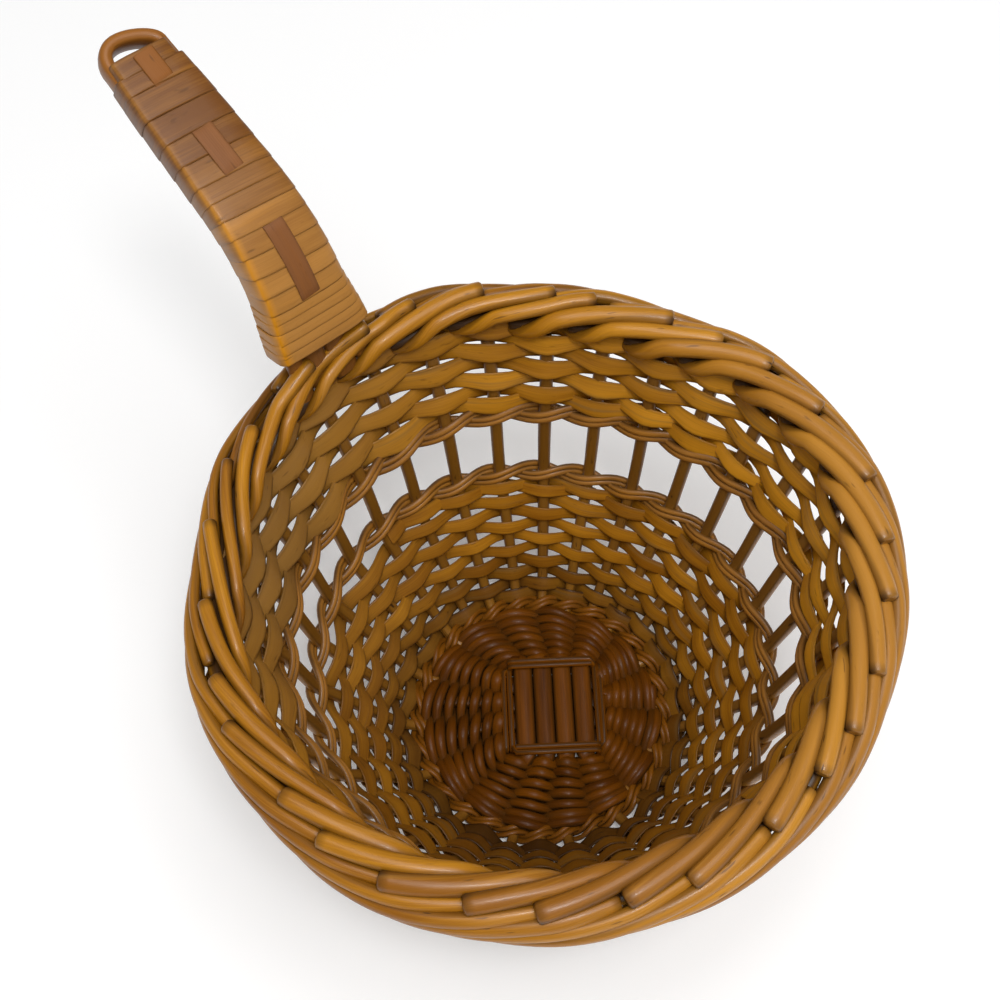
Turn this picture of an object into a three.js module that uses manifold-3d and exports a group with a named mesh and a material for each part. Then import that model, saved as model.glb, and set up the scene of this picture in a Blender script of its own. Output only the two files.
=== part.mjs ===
// A round wicker basket with an openwork band, a rolled rod border and one ladle-like handle
// that is lapped with flat skein and ends in a hanging loop.
// Millimetres, +Z up. The origin is on the bowl's axis at the surface that the base stands on.
// The handle points along -X.
import * as THREE from 'three';
import Module from 'manifold-3d';
import { mergeVertices } from 'three/addons/utils/BufferGeometryUtils.js';

// Fits
const clearance = 0.3; // between two pieces that touch in the real basket
const weaveSlack = 0.35; // extra room where a straight strand rounds a stake

// Bowl
const stakeCount = 30;
const rimOuterRadius = 116;
const rimCentreHeight = 133.5;
const baseEdgeRadius = 54;
const bandBottomRadius = 83.6;
const bandBottomHeight = 55.8;
const bandTopRadius = 90.2;
const bandTopHeight = 86.3;
const heelRadius = 7; // of the bend that turns a stake up at the base's edge

// Rods and skein
const stakeDiameter = 4.5;
const borderRodDiameter = 6.2;
const borderCoilRadius = 8.5; // from the middle of the border to a rod's middle
const skeinThickness = 1.2;
const skeinRowGap = 0.6; // between two rows of the wall
const lowerRows = 8;
const upperRows = 6;
const pairingWidth = 2.4; // of a pairing strand where it lies on a stake
const pairingThickness = 2;
const crossingWidth = 2; // of the strand where it crosses its partner
const crossingShift = 1.55; // of the strand's middle there
const rodSides = 5; // facets round a stake or a border rod

// Border: how a rod runs, in stake pitches and in turn about the border's middle
const passHalf = 0.3; // pitches on either side of the pass between two stakes
const passSwing = THREE.MathUtils.degToRad(48); // turn in that stretch, on either side
const rodTurnPitches = 6; // pitches in one whole turn
const rodStart = THREE.MathUtils.degToRad(62); // of the cut end on top
const rodEndGap = 0.15; // pitches between a rod's end and the start of the next in line
const rodLeastStep = 0.15; // pitches from a rod's end to its last bend, at least

// Base
const sticksPerSide = 4;
const stickWidth = 6.8;
const stickThickness = 5;
const stickPitch = 7.7;
const stickCorner = 0.9; // taken off each edge of a stick
const armThickness = 3.6; // a stick's thickness out among the weavers
const armWidth = 4.2;
const baseWeaverWidth = 2.7;
const baseWeaverThickness = 2.6;
const lashingThickness = 2;
const lashingTurns = 2;
const baseRows = 5;
const firstRowPower = 3; // how square the first row is: 2 would be a circle
const armBend = 3; // length in which an arm comes level past its lashing
const crossTurn = THREE.MathUtils.degToRad(49.5); // of the lower sticks, from +X

// Handle
const legWidth = 6;
const legDepth = 10;
const tongueDepth = 3.6; // of the legs where they are pared to go down into the border
const legSpread = 12.6; // from the handle's middle to a leg's middle, at the border
const loopSpread = 8.1; // the same at the hanging loop
const loopReach = 7.2; // from the laps to the middle of the loop's bend
const handlePlace = 0.32; // stake pitches from the handle's middle to the next stake
const loopSteps = 6; // spans in the half ring of the loop
const legStations = 16;
const handleSteepness = THREE.MathUtils.degToRad(70); // of the handle where it leaves the border
const handleSlope = THREE.MathUtils.degToRad(27); // of the handle at the loop
const handleRise = 33.5; // of the straight stretch from the border's top to the bend
const handleBendRadius = 50;
const lapThickness = 1;
const lapGap = 0.6;
const lapCorner = 1.5; // taken off each inner corner of a lap
const leaderWidth = 7;
const leaderThickness = 1;
const leaderPass = 2.4; // gap between laps where the leader strip goes up or down
// Laps from the border to the loop: how many, how wide, and whether the leader lies over them
const lapGroups = [
  { laps: 5, width: 3.3, leaderOver: false },
  { laps: 4, width: 5.3, leaderOver: true },
  { laps: 3, width: 7, leaderOver: false },
  { laps: 2, width: 7.2, leaderOver: true },
  { laps: 2, width: 7, leaderOver: false },
  { laps: 2, width: 5.8, leaderOver: true },
];

const wasm = await Module();
wasm.setup();

const fullTurn = 2 * Math.PI;
const stakeAngle = fullTurn / stakeCount;
const zAxis = new THREE.Vector3(0, 0, 1);

// A point given by its angle about the bowl's axis, its distance from it and its height
function around(angle, radius, height) {
  return new THREE.Vector3(radius * Math.cos(angle), radius * Math.sin(angle), height);
}

// A closed body through rings of equally many points, capped at both ends unless it is a loop
function loft(rings, isLoop = false) {
  const sides = rings[0].length;
  const position = rings.flat().flatMap((point) => point.toArray());
  const index = [];
  const spans = isLoop ? rings.length : rings.length - 1;
  for (let span = 0; span < spans; span += 1) {
    const here = span * sides;
    const next = ((span + 1) % rings.length) * sides;
    for (let side = 0; side < sides; side += 1) {
      const after = (side + 1) % sides;
      index.push(here + side, here + after, next + after, here + side, next + after, next + side);
    }
  }
  if (!isLoop) {
    const last = (rings.length - 1) * sides;
    for (let side = 1; side < sides - 1; side += 1) {
      index.push(0, side + 1, side, last, last + side, last + side + 1);
    }
  }
  const geometry = new THREE.BufferGeometry();
  geometry.setAttribute('position', new THREE.Float32BufferAttribute(position, 3));
  geometry.setIndex(volumeOf(position, index) > 0 ? index : index.reverse());
  return geometry;
}

function volumeOf(position, index) {
  const corner = (i) => new THREE.Vector3().fromArray(position, 3 * index[i]);
  let volume = 0;
  for (let i = 0; i < index.length; i += 3) {
    volume += corner(i).dot(corner(i + 1).cross(corner(i + 2))) / 6;
  }
  return volume;
}

// One four-cornered ring of a flat strip: thick along one direction, wide along the other
function stripRing(middle, thickAxis, thickness, wideAxis, width) {
  const corners = [[1, 1], [-1, 1], [-1, -1], [1, -1]];
  return corners.map(([thick, wide]) => middle.clone()
    .addScaledVector(thickAxis, (thick * thickness) / 2)
    .addScaledVector(wideAxis, (wide * width) / 2));
}

// Rings of a round rod along a path. The guide is a direction that is never along the path.
function rodRings(path, diameter, sides, guideAt) {
  return path.map((point, i) => {
    const before = path[Math.max(i - 1, 0)];
    const after = path[Math.min(i + 1, path.length - 1)];
    const along = after.clone().sub(before).normalize();
    const across = along.clone().cross(guideAt(i)).normalize();
    const up = across.clone().cross(along);
    return Array.from({ length: sides }, (_, side) => {
      const turn = (side * fullTurn) / sides;
      return point.clone()
        .addScaledVector(up, (Math.cos(turn) * diameter) / 2)
        .addScaledVector(across, (Math.sin(turn) * diameter) / 2);
    });
  });
}

function solidOf(geometry) {
  const merged = mergeVertices(geometry, 1e-4);
  return new wasm.Manifold(new wasm.Mesh({
    numProp: 3,
    vertProperties: new Float32Array(merged.attributes.position.array),
    triVerts: new Uint32Array(merged.index.array),
  }));
}

function joined(first, second) {
  const mesh = solidOf(first).add(solidOf(second)).getMesh();
  const geometry = new THREE.BufferGeometry();
  geometry.setAttribute('position', new THREE.BufferAttribute(mesh.vertProperties, 3));
  geometry.setIndex(new THREE.BufferAttribute(mesh.triVerts, 1));
  return geometry;
}

// Wall: the stakes' middle line in the plane of the bowl's axis, as points of radius and height
const rimCentreRadius = rimOuterRadius - borderCoilRadius - borderRodDiameter / 2;
const pairingOffset = stakeDiameter / 2 + clearance + weaveSlack + pairingThickness / 2;
const footHeight = pairingOffset + pairingThickness / 2;
const rimCentre = new THREE.Vector2(rimCentreRadius, rimCentreHeight);
const bandTop = new THREE.Vector2(bandTopRadius, bandTopHeight);
const bandBottom = new THREE.Vector2(bandBottomRadius, bandBottomHeight);
const upperDirection = rimCentre.clone().sub(bandTop).normalize();
const borderDepth = borderCoilRadius + borderRodDiameter / 2;
const wallHead = rimCentre.clone().addScaledVector(upperDirection, -borderDepth);
const pairingHalf = crossingShift + crossingWidth / 2; // half the height of a row of pairing
const upsettRadius = baseEdgeRadius - heelRadius / 2 - pairingHalf;
const armReach = upsettRadius - pairingHalf - clearance;
const footRadius = armReach + clearance;

function wallLinePoints() {
  const heel = new THREE.Vector2(baseEdgeRadius, footHeight);
  const rise = bandBottom.clone().sub(heel).normalize();
  const turned = heel.clone().addScaledVector(rise, heelRadius);
  const beforeHeel = new THREE.Vector2(baseEdgeRadius - heelRadius / 2, footHeight);
  const foot = new THREE.Vector2(footRadius, footHeight);
  return [foot, beforeHeel, turned, bandBottom, bandTop, wallHead];
}

const wallLine = wallLinePoints();
const wallLengths = wallLine.slice(1).map((point, i) => point.distanceTo(wallLine[i]));
const lengthTo = (count) => wallLengths.slice(0, count).reduce((sum, length) => sum + length, 0);

// The wall's point, direction and outward normal at a length along the stake
function wallAt(length) {
  let leg = 0;
  while (leg < wallLengths.length - 1 && length > lengthTo(leg + 1)) leg += 1;
  const direction = wallLine[leg + 1].clone().sub(wallLine[leg]).normalize();
  const point = wallLine[leg].clone().addScaledVector(direction, length - lengthTo(leg));
  return { point, direction, normal: new THREE.Vector2(direction.y, -direction.x) };
}

const inMeridian = (angle, flat) => around(angle, flat.x, flat.y);

// The handle leaves the border between the last stake and the first
const handleAngle = Math.PI;
const stakeTurn = (stake) => handleAngle + (stake + handlePlace) * stakeAngle;

// Border: each rod makes one turn about the border's middle while it runs round the rim.
// It starts with a cut end on top, dives inside the bowl, passes between two stakes under the
// border and comes up outside, to end beside the start of another rod.
const wallEntry = Math.atan2(-upperDirection.y, -upperDirection.x) + fullTurn;
const rodSwing = (fullTurn - 2 * passSwing) / (rodTurnPitches - 2 * passHalf); // in one pitch

function coilTurn(pitches) {
  const past = Math.max(Math.abs(pitches) - passHalf, 0);
  const swing = (Math.min(Math.abs(pitches), passHalf) / passHalf) * passSwing + past * rodSwing;
  return wallEntry + Math.sign(pitches) * swing;
}

function coilPoint(passAngle, pitches, radius = borderCoilRadius) {
  const turn = coilTurn(pitches);
  const angle = passAngle + pitches * stakeAngle;
  return around(
    angle,
    rimCentreRadius + radius * Math.cos(turn),
    rimCentreHeight + radius * Math.sin(turn),
  );
}

// Handle's place in the border. The rods on top are cut short there, and the handle's tongue goes
// down between the rods that are left on both sides of it.
const rodLean = Math.atan((borderCoilRadius * rodSwing) / (rimCentreRadius * stakeAngle));
const rodHalf = borderRodDiameter / 2 / Math.cos(rodLean); // across the border
const tongueRoom = tongueDepth / 2 + clearance + rodHalf;
const openTop = Math.asin(tongueRoom / borderCoilRadius); // cleared on either side of the tongue
const handleHalfWidth = legSpread + legWidth / 2 + clearance + lapThickness;
const handleZone = (handleHalfWidth + borderRodDiameter / 2 + clearance) / rimCentreRadius;

function isAtHandle(passAngle, pitches) {
  const aside = passAngle + pitches * stakeAngle - handleAngle;
  const wrapped = Math.abs(Math.atan2(Math.sin(aside), Math.cos(aside)));
  return wrapped < handleZone && Math.cos(coilTurn(pitches) - handleSteepness) > Math.cos(openTop);
}

// How far a rod reaches from its pass towards one of its ends, in stake pitches
function rodReach(passAngle, way) {
  const inner = passHalf + (wallEntry - rodStart - passSwing) / rodSwing;
  let reach = way < 0 ? inner : rodTurnPitches - inner - rodEndGap;
  const trimStep = 0.02;
  for (let pitches = passHalf; pitches < reach; pitches += trimStep) {
    if (isAtHandle(passAngle, way * pitches)) reach = pitches - trimStep;
  }
  return reach;
}

// A rod bends at whole pitches, so neighbouring rods bend side by side and keep their distance
function rodBends(reach) {
  const bends = [passHalf];
  for (let pitches = 1; pitches < reach - rodLeastStep; pitches += 1) bends.push(pitches);
  return bends.concat([reach]);
}

function borderRod(passAngle) {
  const inside = rodBends(rodReach(passAngle, -1)).map((pitches) => -pitches);
  const offsets = inside.reverse().concat(rodBends(rodReach(passAngle, 1)));
  const path = offsets.map((pitches) => coilPoint(passAngle, pitches));
  const guideAt = (i) => path[i].clone().sub(coilPoint(passAngle, offsets[i], 0));
  return loft(rodRings(path, borderRodDiameter, rodSides, guideAt));
}

// A stake from its foot in the base up the wall, with its head turned in to its border rod
function uprightStake(angle) {
  const overStake = -0.5; // pitches from the pass beside the stake back to the stake itself
  const head = coilPoint(angle + stakeAngle / 2, overStake);
  const path = wallLine.map((point) => inMeridian(angle, point)).concat([head]);
  const sideways = around(angle + Math.PI / 2, 1, 0);
  return loft(rodRings(path, stakeDiameter, rodSides, () => sideways));
}

function stakeWithBorderRod(stake) {
  const angle = stakeTurn(stake);
  return joined(uprightStake(angle), borderRod(angle + stakeAngle / 2));
}

// Flat skein woven in front of one stake and behind the next, climbing two rows a turn
function wallWeaver(bottom, pitch, rows, isFollower) {
  const offset = stakeDiameter / 2 + clearance + weaveSlack + skeinThickness / 2;
  const firstStake = isFollower ? stakeCount / 2 : 0;
  const steps = Math.round(((rows - 1) / 2) * stakeCount);
  const rings = [];
  for (let step = 0; step <= steps; step += 1) {
    const stake = firstStake + step;
    const isOutside = (stake + (isFollower ? 1 : 0)) % 2 === 0;
    const wall = wallAt(bottom + pitch * (0.5 + (2 * step) / stakeCount));
    const middle = wall.point.clone().addScaledVector(wall.normal, isOutside ? offset : -offset);
    const angle = stakeTurn(stake);
    const outward = inMeridian(angle, wall.normal);
    const upward = inMeridian(angle, wall.direction);
    const width = pitch - skeinRowGap;
    rings.push(stripRing(inMeridian(angle, middle), outward, skeinThickness, upward, width));
  }
  return loft(rings);
}

// One of the two strands of a row of pairing, which cross between every two stakes
function pairingStrand(length, isSecond) {
  const wall = wallAt(length);
  const rings = [];
  for (let half = 0; half < 2 * stakeCount; half += 1) {
    const angle = stakeTurn(half / 2);
    const isOutside = (Math.floor(half / 2) + (isSecond ? 1 : 0)) % 2 === 0;
    const side = isOutside ? 1 : -1;
    const isOnStake = half % 2 === 0;
    const middle = wall.point.clone();
    if (isOnStake) middle.addScaledVector(wall.normal, side * pairingOffset);
    else middle.addScaledVector(wall.direction, side * crossingShift);
    const width = isOnStake ? pairingWidth : crossingWidth;
    const outward = inMeridian(angle, wall.normal);
    const upward = inMeridian(angle, wall.direction);
    rings.push(stripRing(inMeridian(angle, middle), outward, pairingThickness, upward, width));
  }
  return loft(rings, true);
}

// Base sticks: four lie on four, and past the cross their pared arms share one level
const crossHalf = ((sticksPerSide - 1) * stickPitch + stickWidth) / 2;
const lashingFirst = crossHalf + clearance + lashingThickness / 2;
const lashingPitch = lashingThickness + clearance;
// The lashings of the lower sticks lie one turn further out, clear of the others at the corners
const lashingStart = (isUpper) => lashingFirst + (isUpper ? 0 : lashingPitch);
const lashingEnd = (isUpper) => lashingStart(isUpper) + (lashingTurns - 0.5) * lashingThickness
  + (lashingTurns - 1) * clearance;
const armStart = (isUpper) => lashingEnd(isUpper) + armBend; // where an arm is level
const firstRow = armStart(false) + clearance + baseWeaverWidth / 2;
const lastRow = armReach - baseWeaverWidth / 2 - clearance;
const armCount = 4 * sticksPerSide;
const armAngle = fullTurn / armCount;
const neckBottom = lashingThickness + clearance; // a lower stick's underside, pared for a lashing
const armBottom = baseWeaverThickness + clearance;
const armTop = armBottom + armThickness;

// Underside and top of a stick at a distance from the base's middle
function stickFaces(distance, isUpper) {
  const inCross = isUpper
    ? { bottom: stickThickness + clearance, top: 2 * stickThickness + clearance }
    : { bottom: 0, top: stickThickness };
  if (distance <= crossHalf) return inCross;
  const neck = isUpper ? inCross : { bottom: neckBottom, top: stickThickness };
  const share = THREE.MathUtils.smoothstep(distance, lashingEnd(isUpper), armStart(isUpper));
  return {
    bottom: THREE.MathUtils.lerp(neck.bottom, armBottom, share),
    top: THREE.MathUtils.lerp(neck.top, armTop, share),
  };
}

function stickSection(middle, across, width, faces) {
  const half = width / 2;
  const flat = half - stickCorner;
  const corners = [
    [flat, faces.bottom], [half, faces.bottom + stickCorner], [half, faces.top - stickCorner],
    [flat, faces.top], [-flat, faces.top], [-half, faces.top - stickCorner],
    [-half, faces.bottom + stickCorner], [-flat, faces.bottom],
  ];
  return corners.map(([aside, height]) => middle.clone()
    .addScaledVector(across, aside).addScaledVector(zAxis, height));
}

function baseStick(number, isUpper) {
  const run = crossTurn + (isUpper ? Math.PI / 2 : 0);
  const place = number - (sticksPerSide - 1) / 2;
  const along = around(run, 1, 0);
  const across = around(run + Math.PI / 2, 1, 0);
  const stations = [
    crossHalf, crossHalf + clearance, lashingEnd(isUpper), armStart(isUpper), armReach,
  ];
  const halfStick = stations.map((distance) => {
    const splay = Math.tan(place * armAngle);
    const fanned = THREE.MathUtils.smoothstep(distance, lashingEnd(isUpper), armStart(isUpper));
    const straight = place * stickPitch;
    const isEnd = distance === armReach;
    const lean = Math.abs(place * armAngle);
    const endRadius = armReach - (armWidth / 2) * Math.sin(lean);
    const reach = isEnd ? endRadius * Math.cos(lean) : distance;
    const aside = THREE.MathUtils.lerp(straight, reach * splay, fanned);
    const width = THREE.MathUtils.lerp(stickWidth, armWidth, fanned);
    return { reach, aside, width, faces: stickFaces(distance, isUpper) };
  });
  const ringAt = (station, way) => stickSection(
    along.clone().multiplyScalar(way * station.reach).addScaledVector(across, station.aside),
    across,
    station.width,
    station.faces,
  );
  const near = halfStick.slice().reverse().map((station) => ringAt(station, -1));
  return loft(near.concat(halfStick.map((station) => ringAt(station, 1))));
}

// Two turns of a thin strand lash the four arms on one side of the cross together
function baseLashing(side) {
  const isUpper = side % 2 === 1;
  const outward = around(crossTurn + (side * Math.PI) / 2, 1, 0);
  const sideways = around(crossTurn + ((side + 1) * Math.PI) / 2, 1, 0);
  const neck = stickFaces(lashingFirst, isUpper);
  const over = neck.top + clearance + lashingThickness / 2;
  const under = neck.bottom - clearance - lashingThickness / 2;
  const aside = crossHalf + clearance + lashingThickness / 2;
  const corners = [[-aside, over], [aside, over], [aside, under], [-aside, under]];
  const rings = [];
  for (let corner = 0; corner < lashingTurns * corners.length; corner += 1) {
    const [place, height] = corners[corner % corners.length];
    const turn = Math.floor(corner / corners.length);
    const isReturning = corner % corners.length === corners.length - 1;
    const distance = lashingStart(isUpper) + turn * lashingPitch;
    const middle = outward.clone().multiplyScalar(distance)
      .addScaledVector(sideways, place).addScaledVector(zAxis, height);
    const slant = new THREE.Vector3().addScaledVector(sideways, Math.sign(place))
      .addScaledVector(zAxis, height === over ? 1 : -1);
    if (isReturning && turn === lashingTurns - 1) break;
    rings.push(stripRing(middle, slant.normalize(), lashingThickness * Math.SQRT2, outward,
      lashingThickness));
  }
  return loft(rings);
}

// Base weavers: two strands chase each other over one arm and under the next.
// The rows follow the square cross at first and end as circles.
function squareness(angle, power) {
  const cosine = Math.abs(Math.cos(angle - crossTurn)) ** power;
  const sine = Math.abs(Math.sin(angle - crossTurn)) ** power;
  return (cosine + sine) ** (-1 / power);
}

function rowRadius(angle, row) {
  const share = THREE.MathUtils.clamp(row / (baseRows - 1), 0, 1);
  const flatSide = THREE.MathUtils.lerp(firstRow, lastRow, share);
  return flatSide * THREE.MathUtils.lerp(squareness(angle, firstRowPower), 1, share);
}

function baseWeaver(isFollower) {
  const height = armThickness / 2 + clearance + baseWeaverThickness / 2;
  const firstArm = isFollower ? armCount / 2 : 0;
  const steps = Math.round(((baseRows - 1) / 2) * armCount);
  const rings = [];
  for (let step = 0; step <= steps; step += 1) {
    const arm = firstArm + step;
    const isOver = (arm + (isFollower ? 1 : 0)) % 2 === 0;
    const middle = (armBottom + armTop) / 2 + (isOver ? height : -height);
    const armMiddle = crossTurn + (arm + 0.5) * armAngle;
    const row = (2 * step) / armCount;
    for (const way of [-1, 1]) {
      const radius = rowRadius(armMiddle, row);
      const angle = armMiddle + (way * (armWidth / 2 + clearance)) / radius;
      const at = around(angle, rowRadius(angle, row), middle);
      const outward = around(angle, 1, 0);
      rings.push(stripRing(at, zAxis, baseWeaverThickness, outward, baseWeaverWidth));
    }
  }
  return loft(rings);
}

// Handle: its middle line leaves the border steeply, bends outwards and runs on to the loop
const lapped = lapGroups.reduce(
  (sum, group) => sum + group.laps * (group.width + lapGap), 0);
const lappedLength = lapped + (lapGroups.length - 1) * (leaderPass - lapGap);
const tongueLength = borderDepth + clearance;
const bendLength = handleBendRadius * (handleSteepness - handleSlope);
const bendStart = tongueLength + handleRise;

// The handle's point, direction and upward normal at a length from the border's middle
function handleAt(length) {
  const bent = THREE.MathUtils.clamp(length - bendStart, 0, bendLength);
  const slope = handleSteepness - bent / handleBendRadius;
  const before = Math.min(length, bendStart);
  const after = Math.max(length - bendStart - bendLength, 0);
  const radius = rimCentreRadius + before * Math.cos(handleSteepness)
    + handleBendRadius * (Math.sin(handleSteepness) - Math.sin(slope)) + after * Math.cos(slope);
  const height = rimCentreHeight + before * Math.sin(handleSteepness)
    + handleBendRadius * (Math.cos(slope) - Math.cos(handleSteepness)) + after * Math.sin(slope);
  return {
    point: around(handleAngle, radius, height),
    direction: around(handleAngle, Math.cos(slope), Math.sin(slope)),
    normal: around(handleAngle, -Math.sin(slope), Math.cos(slope)),
  };
}

const lapStart = tongueLength + clearance;
const loopStart = lapStart + lappedLength;
const sideAxis = new THREE.Vector3(0, 1, 0);

function spreadAt(length) {
  return THREE.MathUtils.lerp(legSpread, loopSpread, Math.min(length / loopStart, 1));
}

function depthAt(length) {
  return THREE.MathUtils.lerp(
    tongueDepth, legDepth, THREE.MathUtils.smoothstep(length, tongueLength, lapStart + legDepth));
}

// A bar's ring in the handle: a rounded block, wide along one direction and deep upwards
function barRing(length, aside, wideAxis, width, depth) {
  const { point, normal } = handleAt(length);
  const middle = point.addScaledVector(sideAxis, aside);
  const flat = 0.5; // share of the width that is flat on top
  const cheek = 0.56; // share of the depth that is flat at the side
  const corners = [
    [1, cheek], [flat, 1], [-flat, 1], [-1, cheek],
    [-1, -cheek], [-flat, -1], [flat, -1], [1, -cheek],
  ];
  return corners.map(([wide, deep]) => middle.clone()
    .addScaledVector(wideAxis, (wide * width) / 2)
    .addScaledVector(normal, (deep * depth) / 2));
}

// One bent rod: a leg on each side, joined by the half ring of the hanging loop
function hairpin() {
  const rings = [];
  const leg = (way) => {
    const lengths = Array.from({ length: legStations }, (_, i) => (loopStart * i) / legStations);
    const ordered = way > 0 ? lengths : lengths.reverse();
    for (const length of ordered) {
      const aside = way * spreadAt(length);
      rings.push(barRing(length, aside, sideAxis.clone().multiplyScalar(way), legWidth,
        depthAt(length)));
    }
  };
  leg(1);
  for (let step = 0; step <= loopSteps; step += 1) {
    const turn = (step * Math.PI) / loopSteps;
    const { direction } = handleAt(loopStart);
    const wide = direction.clone().multiplyScalar(Math.sin(turn))
      .addScaledVector(sideAxis, Math.cos(turn));
    rings.push(barRing(loopStart + loopReach * Math.sin(turn), loopSpread * Math.cos(turn),
      wide, legWidth, legDepth));
  }
  leg(-1);
  return loft(rings);
}

// Two rods lie between the legs and fill the handle up to the loop
function fillerRod(way) {
  const rings = Array.from({ length: legStations }, (_, i) => {
    const length = clearance + ((loopStart - 2 * clearance) * i) / (legStations - 1);
    const room = spreadAt(length) - legWidth / 2;
    const width = room - 1.5 * clearance;
    const aside = way * (room / 2 - clearance / 4);
    return barRing(length, aside, sideAxis, width, depthAt(length));
  });
  return loft(rings);
}

// Heights of the leader and the laps above the handle's middle
const leaderUnder = legDepth / 2 + clearance + leaderThickness / 2;
const lapTop = leaderUnder + leaderThickness / 2 + clearance + lapThickness / 2;
const leaderOver = lapTop + lapThickness / 2 + clearance + leaderThickness / 2;
const lapBottom = legDepth / 2 + clearance + lapThickness / 2;

// Every lap's middle and width along the handle
function lapPlaces() {
  const places = [];
  let length = lapStart;
  lapGroups.forEach((group, i) => {
    if (i > 0) length += leaderPass - lapGap;
    for (let lap = 0; lap < group.laps; lap += 1) {
      length += group.width + lapGap;
      places.push({ end: length, width: group.width });
    }
  });
  return places;
}

const lapPoints = 8; // round the handle
const climbStart = 5; // the point on the underside where a lap starts to climb to the next

// The skein's inner and outer face at one of those points
function lapPoint(length, place) {
  const { point, normal } = handleAt(length);
  const half = spreadAt(length) + legWidth / 2 + clearance;
  const top = lapTop - lapThickness / 2;
  const bottom = lapThickness / 2 - lapBottom;
  const inset = half - lapCorner;
  const outline = [
    [half, bottom + lapCorner], [half, top - lapCorner], [inset, top], [-inset, top],
    [-half, top - lapCorner], [-half, bottom + lapCorner], [-inset, bottom], [inset, bottom],
  ];
  const [aside, up] = outline[place];
  const stretchAside = (half + lapThickness) / half;
  const stretchUp = up > 0 ? (top + lapThickness) / top : (bottom - lapThickness) / bottom;
  const at = (across, high) => point.clone()
    .addScaledVector(sideAxis, across).addScaledVector(normal, high);
  return { inner: at(aside, up), outer: at(aside * stretchAside, up * stretchUp) };
}

function handleLapping() {
  const rings = [];
  const places = lapPlaces();
  places.forEach((place, lap) => {
    const next = places[lap + 1];
    const top = place.end - lapGap - place.width / 2;
    const following = next ? next.end - lapGap - next.width / 2 : top;
    const points = next ? lapPoints : climbStart + 1;
    for (let i = 0; i < points; i += 1) {
      const share = Math.max(i - climbStart, 0) / (lapPoints - climbStart);
      const length = THREE.MathUtils.lerp(top, following, share);
      const lower = lapPoint(length - place.width / 2, i);
      const upper = lapPoint(length + place.width / 2, i);
      rings.push([lower.inner, lower.outer, upper.outer, upper.inner]);
    }
  });
  printLeastGap(rings);
  return loft(rings);
}

// The winding's least gap to itself, between one lap's upper edge and the next one's lower edge
function printLeastGap(rings) {
  let least = Infinity;
  for (let i = 0; i + lapPoints < rings.length; i += 1) {
    const [, , , upperEdge] = rings[i];
    const [lowerEdge] = rings[i + lapPoints];
    least = Math.min(least, upperEdge.distanceTo(lowerEdge));
  }
  console.log(`least gap between the handle's laps: ${least.toFixed(2)} mm`);
}

// The leader strip runs along the handle's top, under some groups of laps and over the others
function leaderStrip() {
  const rings = [];
  let length = lapStart;
  lapGroups.forEach((group) => {
    const span = group.laps * (group.width + lapGap) - lapGap;
    const height = group.leaderOver ? leaderOver : leaderUnder;
    for (let lap = 0; lap <= group.laps; lap += 1) {
      const { point, normal } = handleAt(length + (span * lap) / group.laps);
      const middle = point.addScaledVector(normal, height);
      rings.push(stripRing(middle, normal, leaderThickness, sideAxis, leaderWidth));
    }
    length += span + leaderPass;
  });
  return loft(rings);
}

// Finishes: varnished cane in the tones of the basket's parts
function cane(colour, roughness) {
  return new THREE.MeshStandardMaterial({ color: colour, roughness, metalness: 0 });
}

const finishes = {
  stake: () => cane(0xb07a2c, 0.42),
  skein: () => cane(0xb98430, 0.4),
  pairing: () => cane(0xa8712a, 0.45),
  base: () => cane(0x94641f, 0.5),
  handle: () => cane(0xa5692f, 0.45),
  leader: () => cane(0x93583a, 0.55),
};

const basket = new THREE.Group();

function addPiece(name, geometry, material) {
  geometry.computeVertexNormals();
  const mesh = new THREE.Mesh(geometry, material);
  mesh.name = name;
  basket.add(mesh);
}

const numbered = (name, number) => `${name}_${String(number + 1).padStart(2, '0')}`;

for (let stake = 0; stake < stakeCount; stake += 1) {
  addPiece(numbered('stake', stake), stakeWithBorderRod(stake), finishes.stake());
}

for (const isUpper of [false, true]) {
  for (let number = 0; number < sticksPerSide; number += 1) {
    const name = numbered(isUpper ? 'base_upper_stick' : 'base_lower_stick', number);
    addPiece(name, baseStick(number, isUpper), finishes.base());
  }
}

for (let side = 0; side < 4; side += 1) {
  addPiece(numbered('base_lashing', side), baseLashing(side), finishes.base());
}

const upsettLength = upsettRadius - footRadius;
const lowerWallBottom = lengthTo(2) + clearance;
const lowerPairingLength = lengthTo(3);
const lowerWallTop = lowerPairingLength - pairingHalf - clearance;
const upperPairingLength = lengthTo(4);
const upperWallBottom = upperPairingLength + pairingHalf + clearance;
const upperWallTop = lengthTo(5) - clearance;
const lowerPitch = (lowerWallTop - lowerWallBottom) / lowerRows;
const upperPitch = (upperWallTop - upperWallBottom) / upperRows;

for (const isSecond of [false, true]) {
  const strand = isSecond ? 'b' : 'a';
  addPiece(`base_weaver_${strand}`, baseWeaver(isSecond), finishes.base());
  addPiece(`upsett_pairing_${strand}`, pairingStrand(upsettLength, isSecond), finishes.pairing());
  addPiece(`lower_wall_weaver_${strand}`,
    wallWeaver(lowerWallBottom, lowerPitch, lowerRows, isSecond), finishes.skein());
  addPiece(`lower_band_pairing_${strand}`,
    pairingStrand(lowerPairingLength, isSecond), finishes.pairing());
  addPiece(`upper_band_pairing_${strand}`,
    pairingStrand(upperPairingLength, isSecond), finishes.pairing());
  addPiece(`upper_wall_weaver_${strand}`,
    wallWeaver(upperWallBottom, upperPitch, upperRows, isSecond), finishes.skein());
}

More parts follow.
